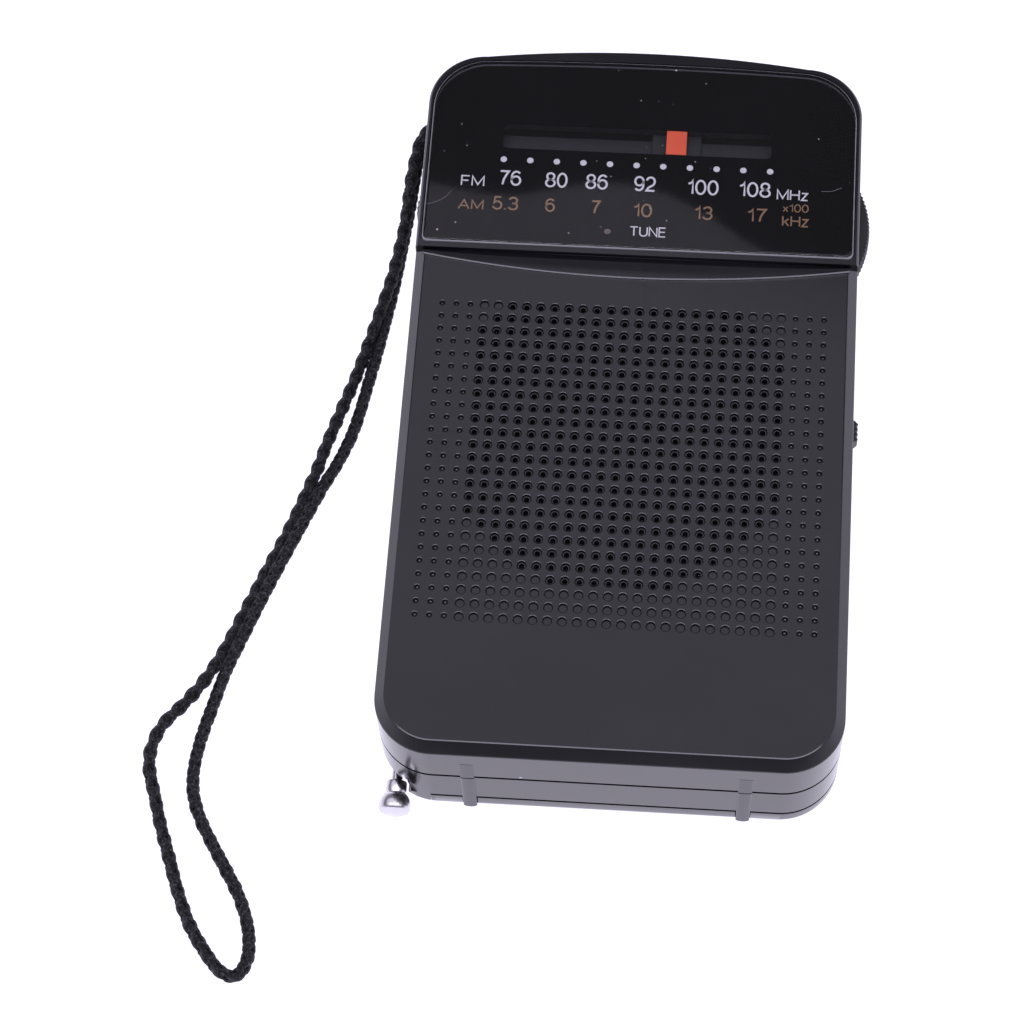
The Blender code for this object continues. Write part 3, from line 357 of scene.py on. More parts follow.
def materials():
    made = {
        "black_gloss": gloss_black(),
        "black_satin": satin_black(),
        "dial_print": dial_paint(),
        # The lens edge grey is a painted highlight that stands in for the glint of the polished acrylic edge;
        # the hairline scratches use the same grey as their own colour.
        "lens_edge_glint_and_scratch_grey": moulded("lens_edge_glint_and_scratch_grey", (0.3, 0.3, 0.32), 0.25, (0.42, 0.42, 0.45)),
        "clear_lens": lens_plastic(),
        "pointer_orange": moulded("pointer_plastic", (0.86, 0.115, 0.045), 0.38, (0.95, 0.17, 0.08)),
        "inner_plastic": moulded("inner_mould", (0.035, 0.035, 0.037), 0.5),
        "window_grey": moulded("window_grey", (0.009, 0.0085, 0.011), 0.55, (0.014, 0.013, 0.017)),
        "white_nylon": moulded("nylon", (0.7, 0.68, 0.62), 0.45, (0.6, 0.57, 0.48)),
        "red_led": moulded("led_epoxy", (0.14, 0.11, 0.11), 0.2, (0.2, 0.12, 0.12)),
        "chrome": metal("chrome_plate", (0.66, 0.65, 0.67), 0.2, (1, 0.05, 1), 900.0, 0.000001,
                        (0.4, 0.4, 0.42)),
        "plated_steel": metal("plated", (0.62, 0.62, 0.6), 0.24),
        "brass": metal("brass_turned", (0.78, 0.56, 0.26), 0.22, (1, 1, 8)),
        "speaker_steel": metal("basket_steel", (0.4, 0.41, 0.41), 0.35),
        "speaker_magnet": moulded("sintered", (0.035, 0.035, 0.037), 0.6),
        "bare_aluminium": metal("spun_aluminium", (0.86, 0.86, 0.87), 0.12, (1, 1, 1), 500.0),
        "ic_epoxy": moulded("epoxy", (0.02, 0.02, 0.02), 0.55),
        "ferrite": moulded("ferrite_rod", (0.05, 0.05, 0.055), 0.5),
        "capacitor_sleeve": moulded("sleeve", (0.03, 0.06, 0.24), 0.3),
        "wire_red": moulded("wire_red", (0.42, 0.02, 0.02), 0.35),
        "wire_black": moulded("wire_black", (0.015, 0.015, 0.015), 0.35),
    }
    paper = Shade("cone_paper", (0.03, 0.03, 0.03), 0.9)
    paper.bump(paper.noise(1400.0, 4.0, 0.7), 0.0001, 0.8)
    paper.tint(paper.remap(paper.noise(700.0, 3.0), 0.5, 0.8), (0.07, 0.07, 0.068))
    made["speaker_paper"] = paper.mat

    cloth = Shade("cloth_weave", (0.012, 0.012, 0.012), 0.9)
    across = cloth.node("TexWave", cloth.place, bands_direction="X", Scale=520.0)
    along = cloth.node("TexWave", cloth.place, bands_direction="Y", Scale=520.0)
    threads = cloth.maths("MAXIMUM", across.outputs["Fac"], along.outputs["Fac"])
    cloth.bump(threads, 0.00005, 0.8)
    cloth.links.new(cloth.remap(threads, 0.45, 0.6), cloth.shader.inputs["Alpha"])
    made["dust_cloth"] = cloth.mat

    board = Shade("phenolic_board", (0.36, 0.21, 0.08), 0.45)
    board.tint(board.remap(board.noise(30.0, 5.0, 0.6, (1, 6, 1)), 0.4, 0.7), (0.27, 0.15, 0.055))
    board.bump(board.noise(900.0, 3.0, 0.6, (1, 5, 1)), 0.00002, 0.5)
    made["board_brown"] = board.mat

    coil = Shade("enamelled_copper", (0.66, 0.24, 0.08), 0.25, 1.0)
    turns = coil.node("TexWave", coil.place, bands_direction="X", Scale=420.0)
    coil.tint(turns.outputs["Fac"], (0.42, 0.14, 0.05)).bump(turns.outputs["Fac"], 0.00012, 0.9)
    made["copper_wire"] = coil.mat

    jacket = Shade("cell_wrap", (0.05, 0.16, 0.09), 0.28)
    split = jacket.node("SeparateXYZ", jacket.place)
    band = jacket.maths("GREATER_THAN", split.outputs["X"], 0.012)
    jacket.tint(band, (0.55, 0.42, 0.18))
    jacket.tint(jacket.scratches(160.0, (0, 0, 1.1)), (0.5, 0.5, 0.5))
    jacket.rough(jacket.remap(jacket.noise(80.0, 4.0), 0.3, 0.7, 0.2, 0.36))
    jacket.bump(jacket.noise(300.0, 2.0), 0.00002, 0.4)
    made["cell_jacket"] = jacket.mat

    twine = Shade("dial_twine", (0.62, 0.59, 0.5), 0.8)
    twist = twine.node("TexWave", twine.place, bands_direction="DIAGONAL", Scale=600.0)
    twine.tint(twist.outputs["Fac"], (0.4, 0.37, 0.3)).bump(twist.outputs["Fac"], 0.00006, 0.8)
    made["dial_cord"] = twine.mat

    nylon = Shade("strap_braid", (0.004, 0.004, 0.0045), 0.6, Specular_IOR_Level=0.35)
    fibre = nylon.node("Attribute", attribute_name="lay")
    threads = nylon.node("TexWave", fibre.outputs["Vector"], bands_direction="X", Scale=6.0,
                         Distortion=2.5, Detail=2.0)
    tufts = nylon.noise(2600.0, 3.0, 0.7)
    shades = nylon.noise(500.0, 2.0, 0.5)
    nylon.tint(nylon.maths("MULTIPLY", threads.outputs["Fac"], 0.7), (0.013, 0.013, 0.0145))
    nylon.tint(nylon.remap(shades, 0.5, 0.62, 0.0, 0.5), (0.016, 0.016, 0.018))
    nylon.tint(nylon.remap(tufts, 0.54, 0.6, 0.0, 0.9), (0.085, 0.085, 0.09))
    nylon.rough(nylon.remap(tufts, 0.3, 0.7, 0.38, 0.65))
    nylon.bump(threads.outputs["Fac"], 0.00012, 1.0)
    nylon.bump(tufts, 0.00012, 0.8)
    made["strap_nylon"] = nylon.mat

    for name, colour in (("print_white", (0.78, 0.78, 0.8)), ("print_bronze", (0.3, 0.18, 0.09))):
        ink = Shade(name, colour, 0.5)
        ink.tint(ink.remap(ink.noise(2500.0, 2.0), 0.45, 0.7, 0.0, 0.3), tuple(c * 0.75 for c in colour))
        ink.bump(ink.noise(3000.0, 2.0), 0.000004, 0.4)
        made[name] = ink.mat
    return made


# ---------------------------------------------------------------- mesh helpers


def new_piece(name, bm, mat, body="case", sharp=35, replaces=()):
    """A piece from a bmesh in millimetres, riding on a body."""
    bmesh.ops.recalc_face_normals(bm, faces=bm.faces)
    bmesh.ops.scale(bm, verts=bm.verts, vec=(MM, MM, MM))
    mesh = bpy.data.meshes.new(name)
    bm.to_mesh(mesh)
    bm.free()
    made = bpy.data.objects.new(name, mesh)
    bpy.context.scene.collection.objects.link(made)
    mesh.materials.append(MATERIALS[mat])
    if sharp:
        mesh.shade_smooth()
        mesh.set_sharp_from_angle(angle=math.radians(sharp))
        weigh = made.modifiers.new("even_flats", "WEIGHTED_NORMAL")
        weigh.keep_sharp, weigh.weight = True, 100
    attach(made, body)
    if replaces:
        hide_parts(*replaces)
    return made


def bend(cx, cy, rx, ry, start, end, steps=12):
    """Points on an oval's arc, from one angle in degrees to another."""
    turns = [math.radians(start + (end - start) * i / steps) for i in range(steps + 1)]
    return [(cx + rx * math.cos(t), cy + ry * math.sin(t)) for t in turns]


def arc(centre, radius, start, end, steps):
    return bend(*centre, radius, radius, start, end, steps)


def rounded_rectangle(low, high, radii, steps=8):
    """Outline from the bottom left corner; radii in the order BL, BR, TR, TL."""
    xs, ys = (low[0], high[0]), (low[1], high[1])
    points = []
    for radius, (right, top), start in zip(radii, ((0, 0), (1, 0), (1, 1), (0, 1)), (180, 270, 0, 90)):
        centre = (xs[right] + (-radius if right else radius), ys[top] + (-radius if top else radius))
        points += arc(centre, radius, start, start + 90, steps) if radius else [centre]
    return points


def skin(bm, loops, closed=False, capped=True):
    """Faces between loops of equally many corners; closed joins the last loop to the first."""
    for lower, upper in zip(loops, loops[1:] + loops[:1] if closed else loops[1:]):
        for i in range(len(lower)):
            j = (i + 1) % len(lower)
            bm.faces.new((lower[i], lower[j], upper[j], upper[i]))
    if capped and not closed:
        bm.faces.new(reversed(loops[0]))
        bm.faces.new(loops[-1])


def loft(rings, closed=False):
    """A body through rings of equally many points; closed makes it a hoop."""
    bm = bmesh.new()
    skin(bm, [[bm.verts.new(point) for point in ring] for ring in rings], closed)
    return bm


def prism(outline, z0, z1):
    return loft([[(x, y, z) for x, y in outline] for z in (z0, z1)])


def box(low, high, bevel=0.0, segments=3):
    (x0, y0, z0), (x1, y1, z1) = low, high
    bm = prism([(x0, y0), (x1, y0), (x1, y1), (x0, y1)], z0, z1)
    if bevel:
        bmesh.ops.bevel(bm, geom=bm.edges[:], offset=bevel, segments=segments, profile=0.5, affect="EDGES")
    return bm


def turned(profile, steps=48, centre=(0, 0), closed=False, waves=0, depth=0.0):
    """A body of revolution about Z from (radius, z) points; waves cuts teeth where depth applies.

    A profile point may carry a third number, the share of the tooth depth that it feels.
    """
    rings = []
    for r, z, *share in profile:
        ring = []
        for i in range(steps):
            turn = math.tau * i / steps
            reach = r - depth * sum(share) * abs(math.sin(waves * turn / 2))
            ring.append((centre[0] + reach * math.cos(turn), centre[1] + reach * math.sin(turn), z))
        rings.append(ring)
    return loft(rings, closed)


def cylinder(radius, z0, z1, centre=(0, 0), steps=24):
    return turned([(radius, z0), (radius, z1)], steps, centre)


def laid(bm, axis):
    """Turn a bmesh that stands along Z so that it lies along X or Y."""
    angle, about = (90, "Y") if axis == "X" else (-90, "X")
    bmesh.ops.transform(bm, matrix=Matrix.Rotation(math.radians(angle), 4, about), verts=bm.verts)
    return bm


def moved(bm, x=0.0, y=0.0, z=0.0):
    bmesh.ops.translate(bm, verts=bm.verts, vec=(x, y, z))
    return bm


def sphere(radius, centre):
    bm = bmesh.new()
    bmesh.ops.create_uvsphere(bm, u_segments=48, v_segments=28, radius=radius)
    return moved(bm, *centre)


def merged(*parts):
    """Several bmeshes as one, not cut into each other."""
    whole = bmesh.new()
    for part in parts:
        mesh = bpy.data.meshes.new("part")
        part.to_mesh(mesh)
        part.free()
        whole.from_mesh(mesh)
        bpy.data.meshes.remove(mesh)
    return whole


def solid_of(start, *steps):
    """A bmesh from a block and the steps that add() and cut() give, in millimetres."""

    def plain(bm):
        bmesh.ops.recalc_face_normals(bm, faces=bm.faces)
        mesh = bpy.data.meshes.new("step")
        bm.to_mesh(mesh)
        bm.free()
        made = bpy.data.objects.new("step", mesh)
        bpy.context.scene.collection.objects.link(made)
        return made

    target = plain(start)
    for operation, bm in steps:
        tool = plain(bm)
        modifier = target.modifiers.new("step", "BOOLEAN")
        modifier.operation, modifier.object = operation, tool
        bpy.context.view_layer.update()
        mesh = bpy.data.meshes.new_from_object(target.evaluated_get(bpy.context.evaluated_depsgraph_get()))
        target.modifiers.clear()
        target.data = mesh
        bpy.data.objects.remove(tool, do_unlink=True)
    result = bmesh.new()
    result.from_mesh(target.data)
    bpy.data.objects.remove(target, do_unlink=True)
    return result


def add(*parts):
    return [("UNION", part) for part in parts]


def cut(*parts):
    return [("DIFFERENCE", part) for part in parts]


def frames_along(points):
    """Position, side and up at each point of a route, without twist."""
    points = [Vector(p) for p in points]
    made, side = [], None
    for i, point in enumerate(points):
        ahead = (points[min(i + 1, len(points) - 1)] - points[max(i - 1, 0)]).normalized()
        if side is None:
            side = ahead.orthogonal().normalized()
        side = (side - ahead * side.dot(ahead)).normalized()
        made.append((point, side, ahead.cross(side)))
    return made


def tube(points, radius, sides):
    rings = []
    for point, side, up in frames_along(points):
        rings.append([point + side * (radius * math.cos(math.tau * k / sides))
                      + up * (radius * math.sin(math.tau * k / sides)) for k in range(sides)])
    return loft(rings)


def smooth_route(route, count):
    """count points, evenly spaced, on a Catmull-Rom curve through the route's points."""
    knots = [Vector(point) for point in route]
    knots = [2 * knots[0] - knots[1], *knots, 2 * knots[-1] - knots[-2]]
    fine = []
    for a, b, c, d in zip(knots, knots[1:], knots[2:], knots[3:]):
        for i in range(12):
            t = i / 12
            fine.append(0.5 * (2 * b + (c - a) * t + (2 * a - 5 * b + 4 * c - d) * t**2
                               + (3 * b - a - 3 * c + d) * t**3))
    fine.append(knots[-2])
    lengths = [0.0]
    for a, b in zip(fine, fine[1:]):
        lengths.append(lengths[-1] + (b - a).length)
    points, index = [], 0
    for i in range(count):
        wanted = lengths[-1] * i / (count - 1)
        while index < len(fine) - 2 and lengths[index + 1] < wanted:
            index += 1
        share = (wanted - lengths[index]) / (lengths[index + 1] - lengths[index])
        points.append(fine[index].lerp(fine[index + 1], min(share, 1.0)))
    return points


# ---------------------------------------------------------------- wrist strap


def wrist_strap():
    """A round four-strand braid: two strands turn each way and pass over and under each other."""
    count, lay, sides = 1100, 5.8, 8
    route = smooth_route(STRAP_ROUTE, count)
    spine = frames_along(route)
    length = sum((b - a).length for a, b in zip(route, route[1:]))
    centre, weave, wide, thick, core = 0.6, 0.14, 0.62, 0.4, 0.5
    bm = bmesh.new()
    lay_layer = bm.verts.layers.float_vector.new("lay")
    for direction in (1, -1):
        for start in (0.0, math.pi):
            line = []
            for i, (point, side, up) in enumerate(spine):
                along = length * i / (count - 1)
                turn = direction * math.tau * along / lay + start
                radius = centre + direction * weave * math.cos(2 * math.tau * along / lay)
                radius += 0.03 * math.sin(along * 1.7 + start * 2 + direction)
                out = side * math.cos(turn) + up * math.sin(turn)
                line.append((point + out * radius, out))
            loops = []
            for i, (point, out) in enumerate(line):
                ahead = (line[min(i + 1, count - 1)][0] - line[max(i - 1, 0)][0]).normalized()
                across = ahead.cross(out).normalized()
                ring = []
                for k in range(sides):
                    a = math.tau * k / sides
                    vert = bm.verts.new(point + across * (wide * math.cos(a)) + out * (thick * math.sin(a)))
                    vert[lay_layer] = (k / sides, length * i / (count - 1) * 0.12, start + direction)
                    ring.append(vert)
                loops.append(ring)
            skin(bm, loops)
    loops = []
    for point, side, up in spine:  # the core that the strands are laid on
        turns = [math.tau * k / 5 for k in range(5)]
        ring = [point + side * (core * math.cos(k)) + up * (core * math.sin(k)) for k in turns]
        loops.append([bm.verts.new(corner) for corner in ring])
    skin(bm, loops)
    strap = new_piece("strap_braid", bm, "strap_nylon", sharp=0, replaces=["wrist_strap"])
    strap.data.shade_smooth()


# ---------------------------------------------------------------- front cabinet


def case_path(inset, low_y=None, high_y=None):
    """The case's outline moved in by inset: the whole of it, or one end up to a straight line across."""
    reach = HALF - CORNER
    radius = CORNER - inset
    points = []
    if low_y is None:
        points += arc((-reach, BOTTOM + CORNER), radius, 180, 270, CORNER_STEPS)
        points += arc((reach, BOTTOM + CORNER), radius, 270, 360, CORNER_STEPS)
    else:
        points += [(-HALF + inset, low_y), (HALF - inset, low_y)]
    if high_y is None:
        top = SHOULDER - CORNER
        points += arc((reach, top), radius, 0, 90, CORNER_STEPS)
        bow_steps = 24
        for i in range(1, bow_steps):
            x = reach * (1 - 2 * i / bow_steps)
            points.append((x, SHOULDER - inset + TOP_BOW * (1 - (x / reach) ** 2)))
        points += arc((-reach, top), radius, 90, 180, CORNER_STEPS)
    else:
        points += [(HALF - inset, high_y), (-HALF + inset, high_y)]
    return points


def case_loft(profile, **ends):
    return loft([[(x, y, z) for x, y in case_path(inset, **ends)] for inset, z in profile])


def lens_outline(inset):
    """The dial lens, its top edge slightly bowed like the case's."""
    low = (-LENS_HALF + inset, LENS_BOTTOM + inset)
    high = (LENS_HALF - inset, LENS_TOP - inset)
    steps = 16
    points = rounded_rectangle(low, high, (1.0, 1.0, CORNER - inset, CORNER - inset), steps)
    end_x, end_y = points[3 * steps + 2]
    shares = [1 - i / 8 for i in range(1, 16)]
    top = [(end_x * share, end_y + LENS_BOW * (1 - share**2)) for share in shares]
    return points[:3 * (steps + 1)] + top + points[3 * (steps + 1):]


def pointer_window():
    low, high = (SLOT_X[0], SLOT_Y - SLOT_HEIGHT / 2), (SLOT_X[1], SLOT_Y + SLOT_HEIGHT / 2)
    return rounded_rectangle(low, high, (0.9,) * 4)


def foot_rib(x, z0, z1):
    """One of the two ribs on the bottom end that the radio stands on; it fades out towards the front."""
    rings = []
    for z in (z0, z1):
        out = 0.03 + FOOT_OUT * (FOOT_Z[1] - z) / (FOOT_Z[1] - FOOT_Z[0])
        ring = [(x + FOOT_HALF, BOTTOM + WALL / 2, z), (x - FOOT_HALF, BOTTOM + WALL / 2, z)]
        for i in range(21):
            turn = math.pi * i / 20
            ring.append((x - FOOT_HALF * math.cos(turn), BOTTOM - out * (0.5 + 0.5 * math.sin(turn)), z))
        rings.append(ring)
    return loft(rings)


def ramp_edge(x):
    return RAMP_MIDDLE + (RAMP_SIDE - RAMP_MIDDLE) * min(x * x / HALF**2, 1.1)


def ramp_sections(profile, half=HALF + 2):
    """A body along the ramp's curved edge; profile gives (y, height over the face) for the edge's y."""
    sections = []
    for i in range(49):
        x = half * (i / 24 - 1)
        sections.append([(x, y, FACE_Z + z) for y, z in profile(ramp_edge(x))])
    return loft(sections)


def ramp_lip(edge):
    return [(edge - 0.4, -0.3), (edge - 0.4, -0.005), (edge - 0.3, 0.015), (edge - 0.1, 0.075),
            (edge - 0.02, 0.075), (edge + 0.02, 0.03), (edge + 0.02, -0.3)]


def ramp_scoop(edge):
    """A fine groove along the edge, then the surface falls away towards the lens rim."""
    groove = ((0.02, 0.3), (0.02, -0.05), (0.06, -0.34), (0.2, -0.34), (0.26, -0.24), (0.46, -0.165),
              (0.52, -0.16))
    fall = ((0.25, 0.175), (0.5, 0.2), (0.62, 0.25), (0.8, 0.4), (0.93, 0.56), (0.97, 0.68), (1.0, 0.7))
    start = edge + groove[-1][0]
    curve = [(edge + along, height) for along, height in groove]
    curve += [(start + (RAMP_TOP - start) * share, -depth) for share, depth in fall]
    return [*curve, (RAMP_TOP, 5.0), (edge + 0.02, 5.0)]


def grille_place(column, row):
    return (column - 13.5) * PITCH, GRILLE_Y + (12 - row) * PITCH


def grille():
    """The tiled part of the face: countersunk holes, open over the loudspeaker and blind around it."""
    bm = bmesh.new()
    sides = 16
    directions = [(math.cos(math.tau * k / sides), math.sin(math.tau * k / sides)) for k in range(sides)]
    shared = {}

    def corner(x, y):
        key = (round(x, 4), round(y, 4))
        if key not in shared:
            shared[key] = bm.verts.new((x, y, FACE_Z))
        return shared[key]

    for column in range(COLUMNS):
        for row in range(ROWS):
            x, y = grille_place(column, row)
            small = column < 3 or column > 24
            through = not small and (column - 13) ** 2 + (row - 9) ** 2 <= 161
            if small:
                profile = [(0.52, 0.0), (0.44, 0.028), (0.4, 0.08), (0.2, 0.42), (0.1, 0.45)]
            else:
                profile = [(0.83, 0.0), (0.75, 0.029), (0.7, 0.08), (0.61, 0.42), (0.59, 0.45)]
                profile += [(0.43, 0.475), (0.405, 0.53), (0.4, 1.6)] if through else [(0.3, 0.455)]
            loops = [[]]
            for across, along in directions:
                reach = PITCH / 2 / max(abs(across), abs(along))
                loops[0].append(corner(x + reach * across, y + reach * along))
            for radius, depth in profile:
                z = FACE_Z - depth
                points = [(x + radius * across, y + radius * along, z) for across, along in directions]
                loops.append([bm.verts.new(point) for point in points])
            skin(bm, loops, capped=False)
            if not through:
                bm.faces.new(loops[-1])
    return bm


def front_cabinet():
    lower = [(0.6, PARTING_Z), (0.6, PARTING_Z + 0.26), (0.06, PARTING_Z + 0.27), (0.0, PARTING_Z + 0.33)]
    grille_half = [*lower, (0.0, 22.15), (0.05, 22.32), (0.16, 22.47), (1.4, 23.92), (1.52, 24.04),
                   (1.7, FACE_Z)]
    dial_half = [*lower, (0.0, 23.8), (0.04, 23.95), (0.1, 24.04), (0.3, 24.27), (0.37, 24.35),
                 (0.5, DIAL_RIM_Z)]
    speaker_bay = rounded_rectangle((-HALF + WALL, BOTTOM + WALL), (HALF - WALL, 22.4),
                                    (CORNER - WALL, CORNER - WALL, 0, 0))
    left, high = grille_place(0, 0)
    right, low = grille_place(COLUMNS - 1, ROWS - 1)
    half = PITCH / 2
    above = DIAL_RIM_Z + 5
    posts = add(cylinder(0.9, 16.6, DIAL_FLOOR[0] + 0.5, (PULLEY_X, PULLEY_Y), 24))
    for x, y in SCREWS:
        roof = DIAL_FLOOR[0] if y > 20 else FACE_Z - WALL
        posts += add(cylinder(2.2, 3.7, roof + 0.5, (x, y), 32)) + cut(cylinder(1.2, 2.7, 10.0, (x, y), 24))
    knob_low = (HALF - 3, SWITCH_Y - SWITCH_KNOB / 2 - GAP, PARTING_Z - 1)
    knob_high = (HALF + 2, SWITCH_Y + SWITCH_KNOB / 2 + SWITCH_TRAVEL + GAP, 16.5)
    shell = solid_of(
        case_loft(grille_half, high_y=RAMP_TOP + 0.7),
        *add(case_loft(dial_half, low_y=RAMP_TOP), ramp_sections(ramp_lip, HALF - 1.7)),
        *cut(
            ramp_sections(ramp_scoop),
            case_loft([(WALL, PARTING_Z - 1), (WALL, DIAL_FLOOR[0])]),
            prism(speaker_bay, PARTING_Z - 1, FACE_Z - WALL),
            prism(lens_outline(0), DIAL_FLOOR[1], above),
            prism(pointer_window(), DIAL_FLOOR[0] - 1, DIAL_FLOOR[1] + 1),
            cylinder(0.8, DIAL_FLOOR[0] - 1, DIAL_FLOOR[1] + 1, (LED_X, LED_Y), 24),
            cylinder(WHEEL_RADIUS + 0.4, PARTING_Z - 1, WHEEL_Z[1] + 0.4, (WHEEL_X, WHEEL_Y), 96),
            cylinder(VOLUME_RADIUS + 0.4, PARTING_Z - 1, WHEEL_Z[1] + 0.1, (VOLUME_X, VOLUME_Y), 64),
            box(knob_low, knob_high),
            box((left - half, low - half, FACE_Z - WALL - 1), (right + half, high + half, above)),
        ),
        *add(*[foot_rib(x, PARTING_Z, FOOT_Z[1]) for x in FOOT_XS]),
        *posts,
    )
    new_piece("front_shell", merged(shell, grille()), "black_gloss", sharp=12, replaces=["front_cabinet"])


# ---------------------------------------------------------------- back cabinet and door


BACK_EDGE = ((2.2, 0.0), (1.6, 0.08), (1.0, 0.35), (0.5, 0.8), (0.15, 1.4), (0.0, 2.2))


def back_shape(top):
    """The back half as one block up to the joint at top, where its edge steps back a little."""
    step = [(0.0, top - 0.06), (0.06, top), (0.6, top + 0.01), (0.6, PARTING_Z - GAP + 0.02)]
    return case_loft([*BACK_EDGE, *step])


def back_cabinet():
    rabbet_roof = RABBET_Z + WALL
    low_hollow = rounded_rectangle((RABBET_X + WALL, BOTTOM + WALL), (HALF - WALL, 57.5),
                                   (0, CORNER - WALL, CORNER - WALL, 0))
    hollows = [
        case_loft([(WALL, rabbet_roof), (WALL, PARTING_Z + 1)]),
        prism(low_hollow, WALL, rabbet_roof + 0.1),
        box((-HALF - 2, NARROW_Y, -1), (RABBET_X, SHOULDER + 5, RABBET_Z)),
        box((-HALF - 2, BOTTOM - 5, -1), (NARROW_X, NARROW_Y + 0.1, RABBET_Z)),
        moved(laid(cylinder(SECTIONS[0][0] - 0.2, BOTTOM - 5, NARROW_Y + 0.1, steps=40), "Y"),
              x=ANTENNA_X, z=ANTENNA_Z),
        sphere(SCOOP_RADIUS, SCOOP),
        box((DOOR_X, BOTTOM - 5, -1), (HALF + 2, DOOR_Y, DOOR_Z)),
        box((-HALF - 2, STRAP_EXIT_Y - 2.4, 8.5), (-HALF + 3, STRAP_EXIT_Y + 2.0, PARTING_Z + 1)),
        moved(laid(turned([(2.6, -HALF - 1), (2.6, -HALF), (1.9, -HALF + 0.6), (1.9, -HALF + 4)], 40), "X"),
              y=6.0, z=10.9),
        moved(laid(cylinder(1.2, RABBET_X - 1, RABBET_X + 3), "X"), y=ANTENNA_PIVOT_Y, z=ANTENNA_Z),
    ]
    boss_top = 3.4
    bosses = []
    for x, y in SCREWS:
        sink = turned([(2.75, -0.2), (2.75, 0.0), (2.4, 0.3), (2.4, 1.3)], 48, (x, y))
        bosses += add(cylinder(2.7, 0.8, boss_top, (x, y), 40))
        bosses += cut(sink, cylinder(1.3, 1, boss_top + 1, (x, y), 32))
    cabinet = solid_of(
        back_shape(PARTING_Z - GAP),
        *cut(*hollows),
        *bosses,
        *add(*[foot_rib(x, FOOT_Z[0], PARTING_Z - GAP) for x in FOOT_XS]),
    )
    new_piece("back_shell", cabinet, "black_gloss", sharp=12, replaces=["back_cabinet"])


def battery_door():
    inside = rounded_rectangle((DOOR_X - 5, BOTTOM + WALL), (HALF - WALL, DOOR_Y + 5),
                               (0, CORNER - WALL, 0, 0))
    far = HALF + 90
    cuts = [
        box((-HALF - 5, BOTTOM - 5, DOOR_Z - GAP), (far, far, PARTING_Z + 5)),
        box((-HALF - 5, BOTTOM - 5, -5), (DOOR_X + 0.1, far, PARTING_Z)),
        box((-HALF - 5, DOOR_Y - GAP, -5), (far, far, PARTING_Z)),
        prism(inside, WALL, PARTING_Z),
        *[box((x - FOOT_HALF - 0.12, BOTTOM - 2, FOOT_Z[0] - 0.15),
              (x + FOOT_HALF + 0.12, BOTTOM + WALL + 0.5, PARTING_Z)) for x in FOOT_XS],
    ]
    grooves = [prism(rounded_rectangle((-3.0, y - 0.45), (11.0, y + 0.45), (0.45,) * 4), -1, 0.45)
               for y in (-46.0, -44.0, -42.0, -40.0, -38.0)]
    arrow = prism([(1.4, -49.0), (4.0, -52.4), (6.6, -49.0)], -1, 0.35)
    door = solid_of(back_shape(DOOR_Z - GAP - 0.3), *cut(*cuts, *grooves, arrow))
    new_piece("door_shell", door, "black_gloss", "battery_door", sharp=12, replaces=["battery_door"])


def case_screws():
    """Pan heads with a cross slot."""
    for number, (x, y) in enumerate(SCREWS, 1):
        profile = [(1.2, 0.2), (1.75, 0.3), (2.05, 0.5), (2.1, 0.7), (2.1, 1.0), (0.9, 1.0), (0.9, 9.4)]
        slots = [box((x - 1.15, y - 0.2, 0.0), (x + 1.15, y + 0.2, 0.75)),
                 box((x - 0.2, y - 1.15, 0.0), (x + 0.2, y + 1.15, 0.75))]
        screw = solid_of(turned(profile, 40, (x, y)), *cut(*slots))
        new_piece(f"screw_{number}", screw, "plated_steel", replaces=[f"case_screw_{number}"])


# ---------------------------------------------------------------- dial


